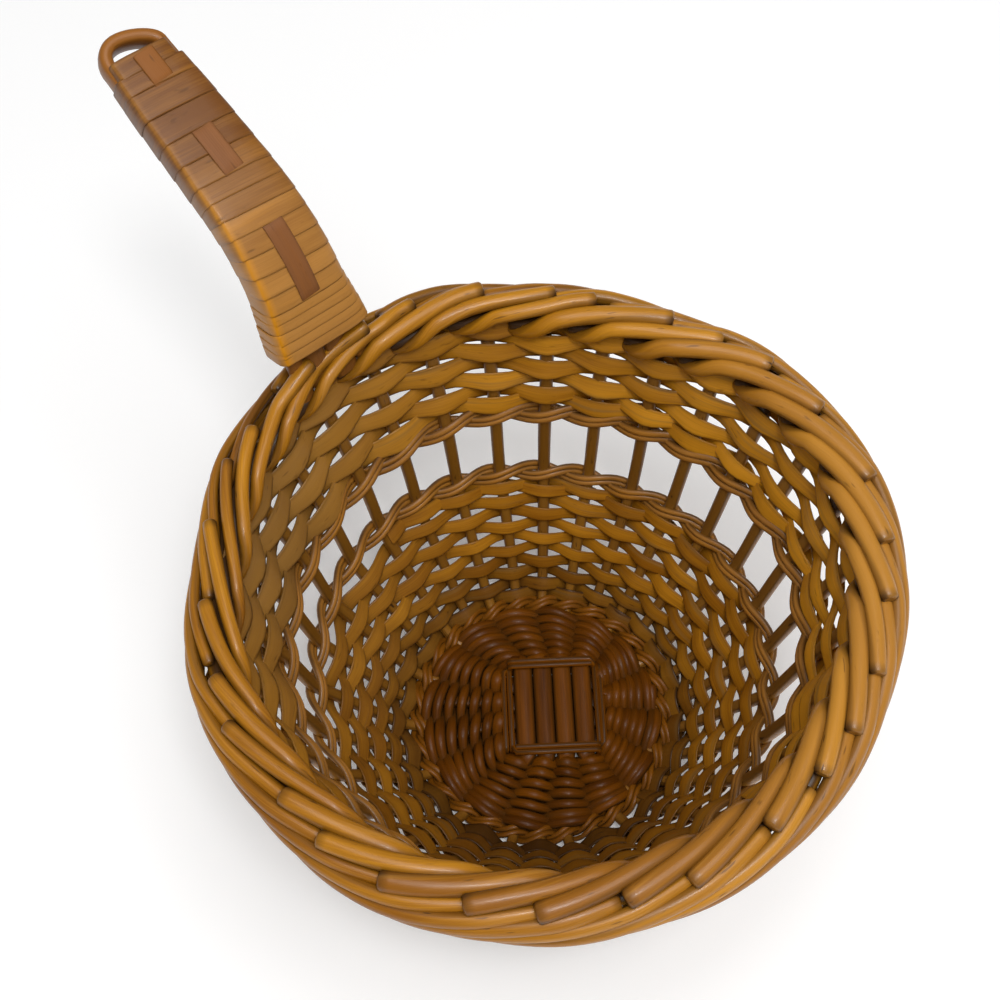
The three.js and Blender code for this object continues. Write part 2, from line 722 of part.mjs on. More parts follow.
addPiece('handle_hairpin', hairpin(), finishes.handle());
addPiece('handle_filler_left', fillerRod(1), finishes.handle());
addPiece('handle_filler_right', fillerRod(-1), finishes.handle());
addPiece('handle_lapping', handleLapping(), finishes.handle());
addPiece('handle_leader', leaderStrip(), finishes.leader());

export default basket;
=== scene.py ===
"""Dresses the wicker basket: every strand of cane is swept along its own run and varnished."""

from __future__ import annotations

import logging
import math
import random
from collections.abc import Sequence
from dataclasses import dataclass, field
from enum import Enum
from functools import cached_property

import bmesh
import bpy
from mathutils import Matrix, Vector, noise


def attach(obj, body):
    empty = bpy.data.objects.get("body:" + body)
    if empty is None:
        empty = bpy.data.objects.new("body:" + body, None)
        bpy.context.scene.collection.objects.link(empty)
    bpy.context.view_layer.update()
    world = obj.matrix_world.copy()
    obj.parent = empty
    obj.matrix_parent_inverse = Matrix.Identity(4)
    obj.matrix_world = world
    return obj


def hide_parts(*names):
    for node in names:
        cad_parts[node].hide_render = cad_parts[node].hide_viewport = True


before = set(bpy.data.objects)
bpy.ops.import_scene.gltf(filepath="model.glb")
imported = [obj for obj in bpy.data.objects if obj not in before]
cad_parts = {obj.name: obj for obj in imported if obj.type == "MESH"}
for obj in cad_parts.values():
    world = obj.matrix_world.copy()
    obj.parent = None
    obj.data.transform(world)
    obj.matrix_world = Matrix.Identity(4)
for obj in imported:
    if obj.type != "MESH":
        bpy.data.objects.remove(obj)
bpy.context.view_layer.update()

LOG = logging.getLogger("basket")
BODY = "root"
MM = 0.001
FULL_TURN = 2 * math.pi
UP = Vector((0, 0, 1))


def lerp(start: float, end: float, share: float) -> float:
    """Returns the value that lies at a share of the way from start to end."""
    return start + (end - start) * share


def smoothstep(value: float, low: float, high: float) -> float:
    """Returns 0 below low, 1 above high, and an eased share between them."""
    share = min(max((value - low) / (high - low), 0.0), 1.0)
    return share * share * (3 - 2 * share)


def around(angle: float, radius: float, height: float = 0.0) -> Vector:
    """Returns the point at an angle about the bowl's axis, a distance from it and a height."""
    return Vector((radius * math.cos(angle), radius * math.sin(angle), height))


def drift(place: float, strand: float) -> float:
    """Returns a smooth value from about -1 to 1 that wanders along a strand.

    Args:
        place: where along the strand, in units of about one swing.
        strand: a number that is different for each strand.

    Returns:
        The value there, the same on every run.
    """
    return noise.noise(Vector((place, 7.3 * strand, 2.9 * strand)))


class Section(Enum):
    """Outline of a strand: its number of sides, and its squareness from 1, an ellipse, to 0."""

    ROD = (12, 1.0)
    SKEIN = (10, 0.32)
    STRAND = (8, 0.9)
    STICK = (12, 0.62)

    @property
    def sides(self) -> int:
        """Number of sides of the outline."""
        return self.value[0]

    @property
    def squareness(self) -> float:
        """Power that turns a circle's coordinates into the outline's."""
        return self.value[1]


@dataclass
class Station:
    """One place along a strand, with its size there.

    Attributes:
        point: the strand's middle.
        outward: direction that the strand's thickness is measured in.
        width: size across the outward direction.
        thickness: size along the outward direction.
        shade: how dark it is there, from 0 to 1: mostly painted shade in creases, gaps, hollows and tucked
            ends, and some dark blotches.
        tone: how much paler or deeper the strand is there than elsewhere.
        roll: turn of the outline about the strand's run.
        worn: how much of the finish's worn colour it takes there, from 0 to 1: dull, weathered stretches, and
            along the handle's ridge an amber streak that is partly varnish and partly a painted highlight.
    """

    point: Vector
    outward: Vector
    width: float
    thickness: float
    shade: float = 0.0
    tone: float = 0.0
    roll: float = 0.0
    worn: float = 0.0


@dataclass
class Strand:
    """A length of cane, made by extruding its outline from station to station.

    Attributes:
        stations: the places that it runs through.
        section: its outline.
        tone: how much paler, up to 1, or deeper, down to -1, it is than its finish.
        grain: where its grain starts, so that no two strands have the same.
        is_loop: whether its end runs into its start.
        end_round: length over which a free end is rounded off.
        end_size: share of the outline that is left at the very end.
    """

    stations: list[Station]
    section: Section
    tone: float = 0.0
    grain: float = 0.0
    is_loop: bool = False
    end_round: float = 0.5 * MM
    end_size: float = 0.8

    def placed(self) -> list[tuple[Matrix, Station, float]]:
        """Works out where each outline lies.

        Returns:
            For each outline its matrix, its station and its length along the strand.
        """
        stations = self.stations
        last = len(stations) - 1
        length = 0.0
        found = []
        for i, station in enumerate(stations):
            before = stations[i - 1] if i or self.is_loop else stations[0]
            after = stations[(i + 1) % len(stations)] if i < last or self.is_loop else stations[last]
            along = (after.point - before.point).normalized()
            wide = station.outward.cross(along).normalized()
            thick = along.cross(wide)
            turned = Matrix.Rotation(station.roll, 3, along)
            wide = turned @ wide * (station.width / 2)
            thick = turned @ thick * (station.thickness / 2)
            if i:
                length += (station.point - stations[i - 1].point).length
            place = Matrix((wide, thick, along)).transposed().to_4x4()
            place.translation = station.point
            found.append((place, station, length))
        if not self.is_loop:
            start, end = found[0], found[-1]
            for share in (0.6, 1.0):
                found.insert(0, self.ended(start, -1, share))
                found.append(self.ended(end, 1, share))
        return found

    def ended(self, near: tuple[Matrix, Station, float], way: int,
              share: float) -> tuple[Matrix, Station, float]:
        """Makes a smaller outline that rounds off an end.

        Args:
            near: the end's own outline.
            way: -1 at the strand's start, and 1 at its end.
            share: of the length over which the end is rounded.

        Returns:
            The outline's matrix, its station and its length along the strand.
        """
        place, station, length = near
        reach = way * share * self.end_round
        size = lerp(1.0, self.end_size, share * share)
        shrunk = place @ Matrix.Diagonal((size, size, 1, 1))
        shrunk.translation = place.translation + place.to_3x3().col[2] * reach
        return shrunk, station, length + reach

    def add_to(self, bm: bmesh.types.BMesh) -> None:
        """Sweeps the strand into a mesh.

        Args:
            bm: the mesh, with the layers that Piece gives it.
        """
        run = bm.verts.layers.float_vector["strand"]
        tone = bm.verts.layers.float["tone"]
        shade = bm.verts.layers.float["shade"]
        worn = bm.verts.layers.float["worn"]
        power = self.section.squareness
        outline = bmesh.ops.create_circle(bm, segments=self.section.sides, radius=1.0)["verts"]
        for vert in outline:
            vert.co.x = math.copysign(abs(vert.co.x) ** power, vert.co.x)
            vert.co.y = math.copysign(abs(vert.co.y) ** power, vert.co.y)
            vert[run] = vert.co
        edges = list({edge for vert in outline for edge in vert.link_edges})
        first_edges = edges
        previous = Matrix.Identity(4)
        for i, (place, station, length) in enumerate(self.placed()):
            if i:
                made = bmesh.ops.extrude_edge_only(bm, edges=edges)["geom"]
                outline = [part for part in made if isinstance(part, bmesh.types.BMVert)]
                edges = [part for part in made
                         if isinstance(part, bmesh.types.BMEdge) and part.is_boundary]
            bmesh.ops.transform(bm, matrix=place @ previous.inverted(), verts=outline)
            previous = place
            for vert in outline:
                vert[run] = Vector((vert[run].x, vert[run].y, self.grain + length / MM))
                vert[shade] = station.shade
                vert[worn] = station.worn
                vert[tone] = self.tone + station.tone
        if self.is_loop:
            bmesh.ops.bridge_loops(bm, edges=first_edges + edges)
        else:
            bmesh.ops.edgeloop_fill(bm, edges=first_edges)
            bmesh.ops.edgeloop_fill(bm, edges=edges)


@dataclass(frozen=True)
class CaneFinish:
    """A varnished cane.

    Attributes:
        title: the material's name.
        slot: name of a material slot; not used.
        pale: colour of its lightest fibres.
        deep: colour of its darkest fibres.
        shade_and_stain: colour of the painted shade in creases, gaps and hollows, and of the small scars.
        worn: colour of its dull, weathered stretches; on the lapping also the amber along the ridge, partly
            varnish and partly a painted highlight.
        worn_part: how much of that colour shows where it is weathered by chance.
        across: how many fibres lie across half the strand.
        along: how fast the grain changes in a millimetre of length.
        tone_part: how much the strands differ from each other.
        streak_part: how strongly the fibres show.
        edge_shade: how dark the strand's two edges are: painted shade where strands meet.
        under_shade: how dark the side is that faces inwards: painted shade under and inside the strands.
        speck_stain: how dark its small scars are.
        roughness: of the varnish.
        gloss: level of the reflections under the coat.
        coat: weight of the clear coat.
        relief: strength of the fibres' bump.
    """

    title: str
    slot: str
    pale: tuple[float, float, float]
    deep: tuple[float, float, float]
    shade_and_stain: tuple[float, float, float] = (0.05, 0.02, 0.004)
    worn: tuple[float, float, float] = (0.26, 0.135, 0.035)
    worn_part: float = 0.75
    across: float = 5.0
    along: float = 0.05
    tone_part: float = 0.3
    streak_part: float = 0.9
    edge_shade: float = 0.45
    under_shade: float = 0.0
    speck_stain: float = 0.4
    roughness: float = 0.44
    gloss: float = 0.2
    coat: float = 0.2
    relief: float = 0.25

    def material(self) -> bpy.types.Material:
        """Returns the finish's material, made the first time that it is asked for."""
        found = bpy.data.materials.get(self.title)
        return found or self.make_material()

    def make_material(self) -> bpy.types.Material:
        """Builds the material.

        Returns:
            The new material.
        """
        material = bpy.data.materials.new(self.title)
        material.use_nodes = True
        tree = material.node_tree
        shader = tree.nodes["Principled BSDF"]
        shader.inputs["Coat Weight"].default_value = self.coat
        shader.inputs["Coat Roughness"].default_value = 0.22
        shader.inputs["Specular IOR Level"].default_value = self.gloss
        surface = tree.nodes.new("ShaderNodeGroup")
        surface.node_tree = CaneSurface().group()
        for name, colour in (("Pale", self.pale), ("Deep", self.deep), ("Shade And Stain", self.shade_and_stain),
                             ("Worn", self.worn)):
            surface.inputs[name].default_value = (*colour, 1)
        values = {
            "Across": self.across, "Along": self.along, "Tone Part": self.tone_part,
            "Streak Part": self.streak_part, "Edge Shade": self.edge_shade,
            "Under Shade": self.under_shade, "Worn Part": self.worn_part,
            "Speck Stain": self.speck_stain, "Roughness": self.roughness,
        }
        for name, value in values.items():
            surface.inputs[name].default_value = value
        bump = tree.nodes.new("ShaderNodeBump")
        bump.inputs["Strength"].default_value = self.relief
        bump.inputs["Distance"].default_value = 0.4 * MM
        tree.links.new(surface.outputs["Colour"], shader.inputs["Base Color"])
        tree.links.new(surface.outputs["Roughness"], shader.inputs["Roughness"])
        tree.links.new(surface.outputs["Height"], bump.inputs["Height"])
        tree.links.new(bump.outputs["Normal"], shader.inputs["Normal"])
        return material


class CaneSurface:
    """The node group that draws fibres, scars, weathering and painted shade on a strand of cane."""

    TITLE = "cane surface"
    COLOURS = ("Pale", "Deep", "Shade And Stain", "Worn")
    VALUES = ("Across", "Along", "Tone Part", "Streak Part", "Edge Shade", "Under Shade",
              "Worn Part", "Speck Stain", "Roughness")

    def group(self) -> bpy.types.ShaderNodeTree:
        """Returns the group, made the first time that it is asked for."""
        found = bpy.data.node_groups.get(self.TITLE)
        return found or self.make_group()

    def make_group(self) -> bpy.types.ShaderNodeTree:
        """Builds the group.

        Returns:
            The new group, with the outputs Colour, Roughness and Height.
        """
        self.tree = bpy.data.node_groups.new(self.TITLE, "ShaderNodeTree")
        sockets = self.tree.interface
        for name in self.COLOURS:
            sockets.new_socket(name, in_out="INPUT", socket_type="NodeSocketColor")
        for name in self.VALUES:
            sockets.new_socket(name, in_out="INPUT", socket_type="NodeSocketFloat")
        sockets.new_socket("Colour", in_out="OUTPUT", socket_type="NodeSocketColor")
        sockets.new_socket("Roughness", in_out="OUTPUT", socket_type="NodeSocketFloat")
        sockets.new_socket("Height", in_out="OUTPUT", socket_type="NodeSocketFloat")
        given = self.tree.nodes.new("NodeGroupInput").outputs
        result = self.tree.nodes.new("NodeGroupOutput").inputs
        run = self.attribute("strand", "Vector")
        fibres = self.noise_along(run, given["Across"], given["Along"], detail=5.0)
        slow = self.noise_along(run, 0.6, 0.02, detail=2.0)
        scars = self.noise_along(run, 2.4, 0.14, detail=1.0)
        tone = self.math("MULTIPLY", self.attribute("tone", "Fac"), given["Tone Part"])
        streaks = self.math("MULTIPLY", self.math("SUBTRACT", fibres, 0.5), given["Streak Part"])
        swells = self.math("MULTIPLY", self.math("SUBTRACT", slow, 0.5), 0.9)
        mixed = self.math("ADD", self.math("ADD", tone, streaks), self.math("ADD", swells, 0.5))
        cane = self.mix(self.math("MINIMUM", self.math("MAXIMUM", mixed, 0.0), 1.0),
                        given["Deep"], given["Pale"])
        weathered = self.ramp(self.noise_along(run, 0.9, 0.011, detail=3.0), 0.52, 0.72)
        weathered = self.math("MULTIPLY", weathered, given["Worn Part"])
        dull = self.math("MAXIMUM", weathered, self.attribute("worn", "Fac"))
        cane = self.mix(dull, cane, given["Worn"])
        apart = self.tree.nodes.new("ShaderNodeSeparateXYZ")
        self.tree.links.new(run, apart.inputs[0])
        # Painted shade along a strand's two edges, where strands meet.
        edge = self.ramp(self.math("ABSOLUTE", apart.outputs["X"]), 0.6, 1.0)
        scar = self.ramp(scars, 0.68, 0.8)
        # Painted shade on the side of a strand that faces inwards.
        under = self.ramp(self.math("MULTIPLY", apart.outputs["Y"], -1.0), 0.0, 0.8)
        # Painted shade of edges and undersides, plus the dark scars; the shade attribute adds the painted
        # shade of creases, gaps and hollows. All of it mixes towards the dark colour.
        shade_and_scars = self.math("ADD", self.math("MULTIPLY", edge, given["Edge Shade"]),
                             self.math("MULTIPLY", scar, given["Speck Stain"]))
        shade_and_scars = self.math("ADD", shade_and_scars, self.math("MULTIPLY", under, given["Under Shade"]))
        darkened = self.math("ADD", shade_and_scars, self.attribute("shade", "Fac"))
        darkened = self.math("MINIMUM", self.math("MAXIMUM", darkened, 0.0), 1.0)
        self.tree.links.new(self.mix(darkened, cane, given["Shade And Stain"]), result["Colour"])
        dulled = self.math("MULTIPLY", self.math("SUBTRACT", fibres, 0.5), 0.25)
        self.tree.links.new(self.math("ADD", dulled, given["Roughness"]), result["Roughness"])
        relief = self.math("SUBTRACT", fibres, self.math("MULTIPLY", scar, 0.5))
        self.tree.links.new(relief, result["Height"])
        return self.tree

    def attribute(self, name: str, output: str) -> bpy.types.NodeSocket:
        """Returns an output of a mesh attribute."""
        node = self.tree.nodes.new("ShaderNodeAttribute")
        node.attribute_name = name
        return node.outputs[output]

    def math(self, operation: str, first: object, second: object = 0.0) -> bpy.types.NodeSocket:
        """Returns the result of a sum of two sockets or numbers."""
        node = self.tree.nodes.new("ShaderNodeMath")
        node.operation = operation
        self.feed(first, node.inputs[0])
        self.feed(second, node.inputs[1])
        return node.outputs[0]

    def feed(self, source: object, target: bpy.types.NodeSocket) -> None:
        """Links a socket to an input, or sets the input to a number."""
        if isinstance(source, (int, float)):
            target.default_value = source
        else:
            self.tree.links.new(source, target)

    def noise_along(self, run: bpy.types.NodeSocket, across: object, along: object,
                    detail: float) -> bpy.types.NodeSocket:
        """Draws noise that is stretched along the strand.

        Args:
            run: the strand's own coordinates.
            across: how fast it changes across the strand.
            along: how fast it changes along it, for a millimetre.
            detail: how many finer layers it has.

        Returns:
            The noise, from 0 to 1.
        """
        scale = self.tree.nodes.new("ShaderNodeCombineXYZ")
        self.feed(across, scale.inputs["X"])
        self.feed(across, scale.inputs["Y"])
        self.feed(along, scale.inputs["Z"])
        stretched = self.tree.nodes.new("ShaderNodeVectorMath")
        stretched.operation = "MULTIPLY"
        self.tree.links.new(run, stretched.inputs[0])
        self.tree.links.new(scale.outputs[0], stretched.inputs[1])
        texture = self.tree.nodes.new("ShaderNodeTexNoise")
        texture.inputs["Scale"].default_value = 1.0
        texture.inputs["Detail"].default_value = detail
        texture.inputs["Roughness"].default_value = 0.6
        self.tree.links.new(stretched.outputs[0], texture.inputs["Vector"])
        return texture.outputs[0]

    def ramp(self, value: bpy.types.NodeSocket, low: float, high: float) -> bpy.types.NodeSocket:
        """Returns 0 where the value is below low, and 1 where it is above high."""
        node = self.tree.nodes.new("ShaderNodeMapRange")
        node.interpolation_type = "SMOOTHSTEP"
        node.inputs["From Min"].default_value = low
        node.inputs["From Max"].default_value = high
        self.tree.links.new(value, node.inputs["Value"])
        return node.outputs[0]

    def mix(self, share: bpy.types.NodeSocket, first: bpy.types.NodeSocket,
            second: bpy.types.NodeSocket) -> bpy.types.NodeSocket:
        """Returns the colour that lies at a share of the way from first to second."""
        node = self.tree.nodes.new("ShaderNodeMix")
        node.data_type = "RGBA"
        self.tree.links.new(share, node.inputs["Factor"])
        self.tree.links.new(first, node.inputs[6])
        self.tree.links.new(second, node.inputs[7])
        return node.outputs[2]


BORDER_CANE = CaneFinish(
    "border cane", "stake", pale=(0.56, 0.24, 0.008), deep=(0.25, 0.087, 0.002), across=6.0,
    worn=(0.45, 0.2, 0.03), tone_part=0.42, edge_shade=0.5, under_shade=0.6, speck_stain=0.55,
    coat=0.32)
SKEIN_CANE = CaneFinish(
    "wall skein", "skein", pale=(0.62, 0.27, 0.014), deep=(0.25, 0.09, 0.004), across=7.0,
    edge_shade=0.42, gloss=0.14, coat=0.18)
PAIRING_CANE = CaneFinish(
    "pairing strand", "pairing", pale=(0.46, 0.19, 0.016), deep=(0.21, 0.075, 0.005), across=5.0,
    worn=(0.35, 0.165, 0.045), edge_shade=0.6)
UPSETT_CANE = CaneFinish(
    "upsett strand", "pairing", pale=(0.24, 0.08, 0.002), deep=(0.09, 0.027, 0.001), across=5.0,
    worn=(0.12, 0.045, 0.004), edge_shade=0.65, gloss=0.12, coat=0.15)
BASE_CANE = CaneFinish(
    "base cane", "base", pale=(0.168, 0.049, 0.0009), deep=(0.043, 0.011, 0.0003), across=5.0,
    worn=(0.07, 0.024, 0.002), tone_part=0.4, edge_shade=0.95, gloss=0.07, coat=0.12)
# Its worn colour is the amber along the handle's ridge, partly varnish and partly a painted highlight.
LAP_CANE = CaneFinish(
    "handle skein", "lapping", pale=(0.46, 0.21, 0.045), deep=(0.163, 0.058, 0.0105), across=8.0,
    worn=(0.6, 0.235, 0.006), worn_part=0.15, edge_shade=0.14, streak_part=0.7, coat=0.12)
LOOP_CANE = CaneFinish(
    "handle rod", "handle", pale=(0.36, 0.135, 0.02), deep=(0.2, 0.068, 0.009), across=5.0,
    worn=(0.24, 0.09, 0.014), edge_shade=0.15)
LEADER_CANE = CaneFinish(
    "leader strip", "leader", pale=(0.28, 0.11, 0.034), deep=(0.18, 0.064, 0.018), across=9.0,
    worn=(0.25, 0.085, 0.012), worn_part=0.3, edge_shade=0.15, roughness=0.6, coat=0.05)


@dataclass
class Piece:
    """One finished piece of the basket, made of strands that share a finish.

    Attributes:
        name: the object's name.
        finish: its cane.
        strands: what it is made of.
        nodes: the solids that it stands for.
    """

    name: str
    finish: CaneFinish
    strands: list[Strand]
    nodes: tuple[str, ...]

    def make(self) -> bpy.types.Object:
        """Builds the piece, dresses it and puts it in the frame.

        Returns:
            The new object.
        """
        bm = bmesh.new()
        bm.verts.layers.float_vector.new("strand")
        bm.verts.layers.float.new("tone")
        bm.verts.layers.float.new("shade")
        bm.verts.layers.float.new("worn")
        for strand in self.strands:
            strand.add_to(bm)
        bmesh.ops.recalc_face_normals(bm, faces=bm.faces)
        for face in bm.faces:
            face.smooth = len(face.verts) == 4
        mesh = bpy.data.meshes.new(self.name)
        bm.to_mesh(mesh)
        bm.free()
        mesh.materials.append(self.finish.material())
        piece = bpy.data.objects.new(self.name, mesh)
        bpy.context.scene.collection.objects.link(piece)
        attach(piece, BODY)
        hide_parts(*self.nodes)
        LOG.info("%s: %d strands, %d faces", self.name, len(self.strands), len(mesh.polygons))
        return piece


@dataclass
class WallPoint:
    """A place on the wall, in the plane of the bowl's axis, as radius and height.

    Attributes:
        bowl: that the wall belongs to.
        point: the stakes' middle there.
        direction: up along the wall.
        normal: out of the bowl.
    """

    bowl: Bowl
    point: Vector
    direction: Vector
    normal: Vector

    def at(self, angle: float, out: float = 0.0, along: float = 0.0) -> Vector:
        """Returns the point at an angle round the bowl, moved out of the wall and along it."""
        flat = self.point + self.normal * out + self.direction * along
        return around(angle, flat.x + self.bowl.sway_at(angle, flat.y), flat.y)

    def outward(self, angle: float) -> Vector:
        """Returns the wall's outward direction at an angle round the bowl."""
        return around(angle, self.normal.x, self.normal.y)


@dataclass(frozen=True)
class Bowl:
    """The bowl's shape, which every other part is set out on.

    Attributes:
        stake_count: stakes round the bowl.
        handle_angle: where the handle leaves the border.
        handle_place: stake pitches from the handle's middle to the next stake.
        rim_radius: of the border's middle.
        rim_height: of the border's middle.
        wall: the stakes' middle line from the foot to the border, as radius and height.
        wall_ease: length over which the line's corners are eased.
        sway: how far the rim lies out of round, at equal angles from the frame's X axis.
        sway_start: height from which the wall follows the rim's sway.
        top_rise: how far up the wall the openwork band's upper edge is shifted, at equal angles.
        bottom_rise: the same for its lower edge.
        foot_diameter: of a stake at its foot.
        stake_diameter: of a stake at the border.
        strand_room: from a stake's side to the middle of a strand that lies on it.
    """

    stake_count: int = 30
    handle_angle: float = math.pi
    handle_place: float = 0.32
    rim_radius: float = 104.4 * MM
    rim_height: float = 133.5 * MM
    wall: tuple[tuple[float, float], ...] = (
        (44 * MM, 4.9 * MM), (50 * MM, 4.9 * MM), (57 * MM, 11.8 * MM),
        (83.6 * MM, 55.8 * MM), (90.2 * MM, 86.3 * MM), (101.1 * MM, 122.4 * MM))
    wall_ease: float = 6 * MM
    sway: tuple[float, ...] = (
        -1.7 * MM, -2.2 * MM, -0.4 * MM, 1.1 * MM, -0.2 * MM, -5.0 * MM, -3.4 * MM, 2.2 * MM,
        4.4 * MM, 2.2 * MM, -0.9 * MM, 1.6 * MM, 0.9 * MM, 1.8 * MM, -0.1 * MM, -1.4 * MM)
    sway_start: float = 70 * MM
    top_rise: tuple[float, ...] = (
        1.6 * MM, 2.4 * MM, 3.1 * MM, 3.6 * MM, 3.0 * MM, 2.2 * MM, 1.5 * MM, 1.5 * MM,
        -0.6 * MM, -3.2 * MM, -1.5 * MM, -0.5 * MM, -0.2 * MM, 0.0, 0.3 * MM, 0.9 * MM)
    bottom_rise: tuple[float, ...] = (
        -1.5 * MM, -1.8 * MM, -1.7 * MM, -1.4 * MM, -1.6 * MM, -2.5 * MM, -0.8 * MM, 0.3 * MM,
        2.2 * MM, 1.5 * MM, -0.5 * MM, -1.0 * MM, -0.5 * MM, -0.3 * MM, -0.5 * MM, -1.0 * MM)
    foot_diameter: float = 4.1 * MM
    stake_diameter: float = 5.3 * MM
    strand_room: float = 0.35 * MM

    @property
    def pitch(self) -> float:
        """Angle from one stake to the next."""
        return FULL_TURN / self.stake_count

    def stake_angle(self, stake: float) -> float:
        """Returns a stake's angle about the bowl's axis."""
        return self.handle_angle + (stake + self.handle_place) * self.pitch

    def stake_size(self, length: float) -> float:
        """Returns a stake's diameter at a length along the wall."""
        return lerp(self.foot_diameter, self.stake_diameter, length / self.reaches[-1])

    @staticmethod
    def eased(values: Sequence[float], angle: float) -> float:
        """Finds a value between those given at equal angles from the frame's X axis.

        Args:
            values: the values, once round.
            angle: about the bowl's axis.

        Returns:
            The value there.
        """
        place = angle % FULL_TURN / FULL_TURN * len(values)
        near = int(place)
        share = smoothstep(place - near, 0.0, 1.0)
        return lerp(values[near % len(values)], values[(near + 1) % len(values)], share)

    def sway_at(self, angle: float, height: float) -> float:
        """Finds how far the wall lies out of round.

        Args:
            angle: about the bowl's axis.
            height: above the floor.

        Returns:
            The distance outwards.
        """
        return self.eased(self.sway, angle) * smoothstep(height, self.sway_start, self.rim_height)

    def band_rise(self, angle: float, is_top: bool) -> float:
        """Returns how far an edge of the openwork band lies up the wall from its plain place."""
        return self.eased(self.top_rise if is_top else self.bottom_rise, angle)

    def nearness(self, angle: float, middle: float, half: float) -> float:
        """Returns 1 at an angle about the bowl's axis, and less away from it down to 0.

        Args:
            angle: the angle in question.
            middle: where the value is 1.
            half: angle from there to where it is 0.

        Returns:
            The value, eased.
        """
        return 1 - smoothstep(abs(math.remainder(angle - middle, FULL_TURN)), 0.0, half)

    @cached_property
    def reaches(self) -> list[float]:
        """Length along the wall up to each of its corners."""
        found = [0.0]
        for (radius, height), (past_radius, past_height) in zip(self.wall, self.wall[1:]):
            found.append(found[-1] + math.hypot(past_radius - radius, past_height - height))
        return found

    def on_line(self, length: float) -> Vector:
        """Returns the point on the wall's cornered line, which goes on straight past its ends."""
        leg = 0
        while leg < len(self.wall) - 2 and length > self.reaches[leg + 1]:
            leg += 1
        start, end = Vector(self.wall[leg]), Vector(self.wall[leg + 1])
        share = (length - self.reaches[leg]) / (self.reaches[leg + 1] - self.reaches[leg])
        return start.lerp(end, share)

    def wall_at(self, length: float) -> WallPoint:
        """Finds the wall with its corners eased.

        Args:
            length: along the wall from the stakes' feet.

        Returns:
            The wall there.
        """
        steps = [self.wall_ease * share for share in (-0.5, -0.25, 0.0, 0.25, 0.5)]
        point = sum((self.on_line(length + step) for step in steps), Vector((0, 0))) / len(steps)
        half = self.wall_ease / 2
        direction = (self.on_line(length + half) - self.on_line(length - half)).normalized()
        return WallPoint(self, point, direction, Vector((direction.y, -direction.x)))


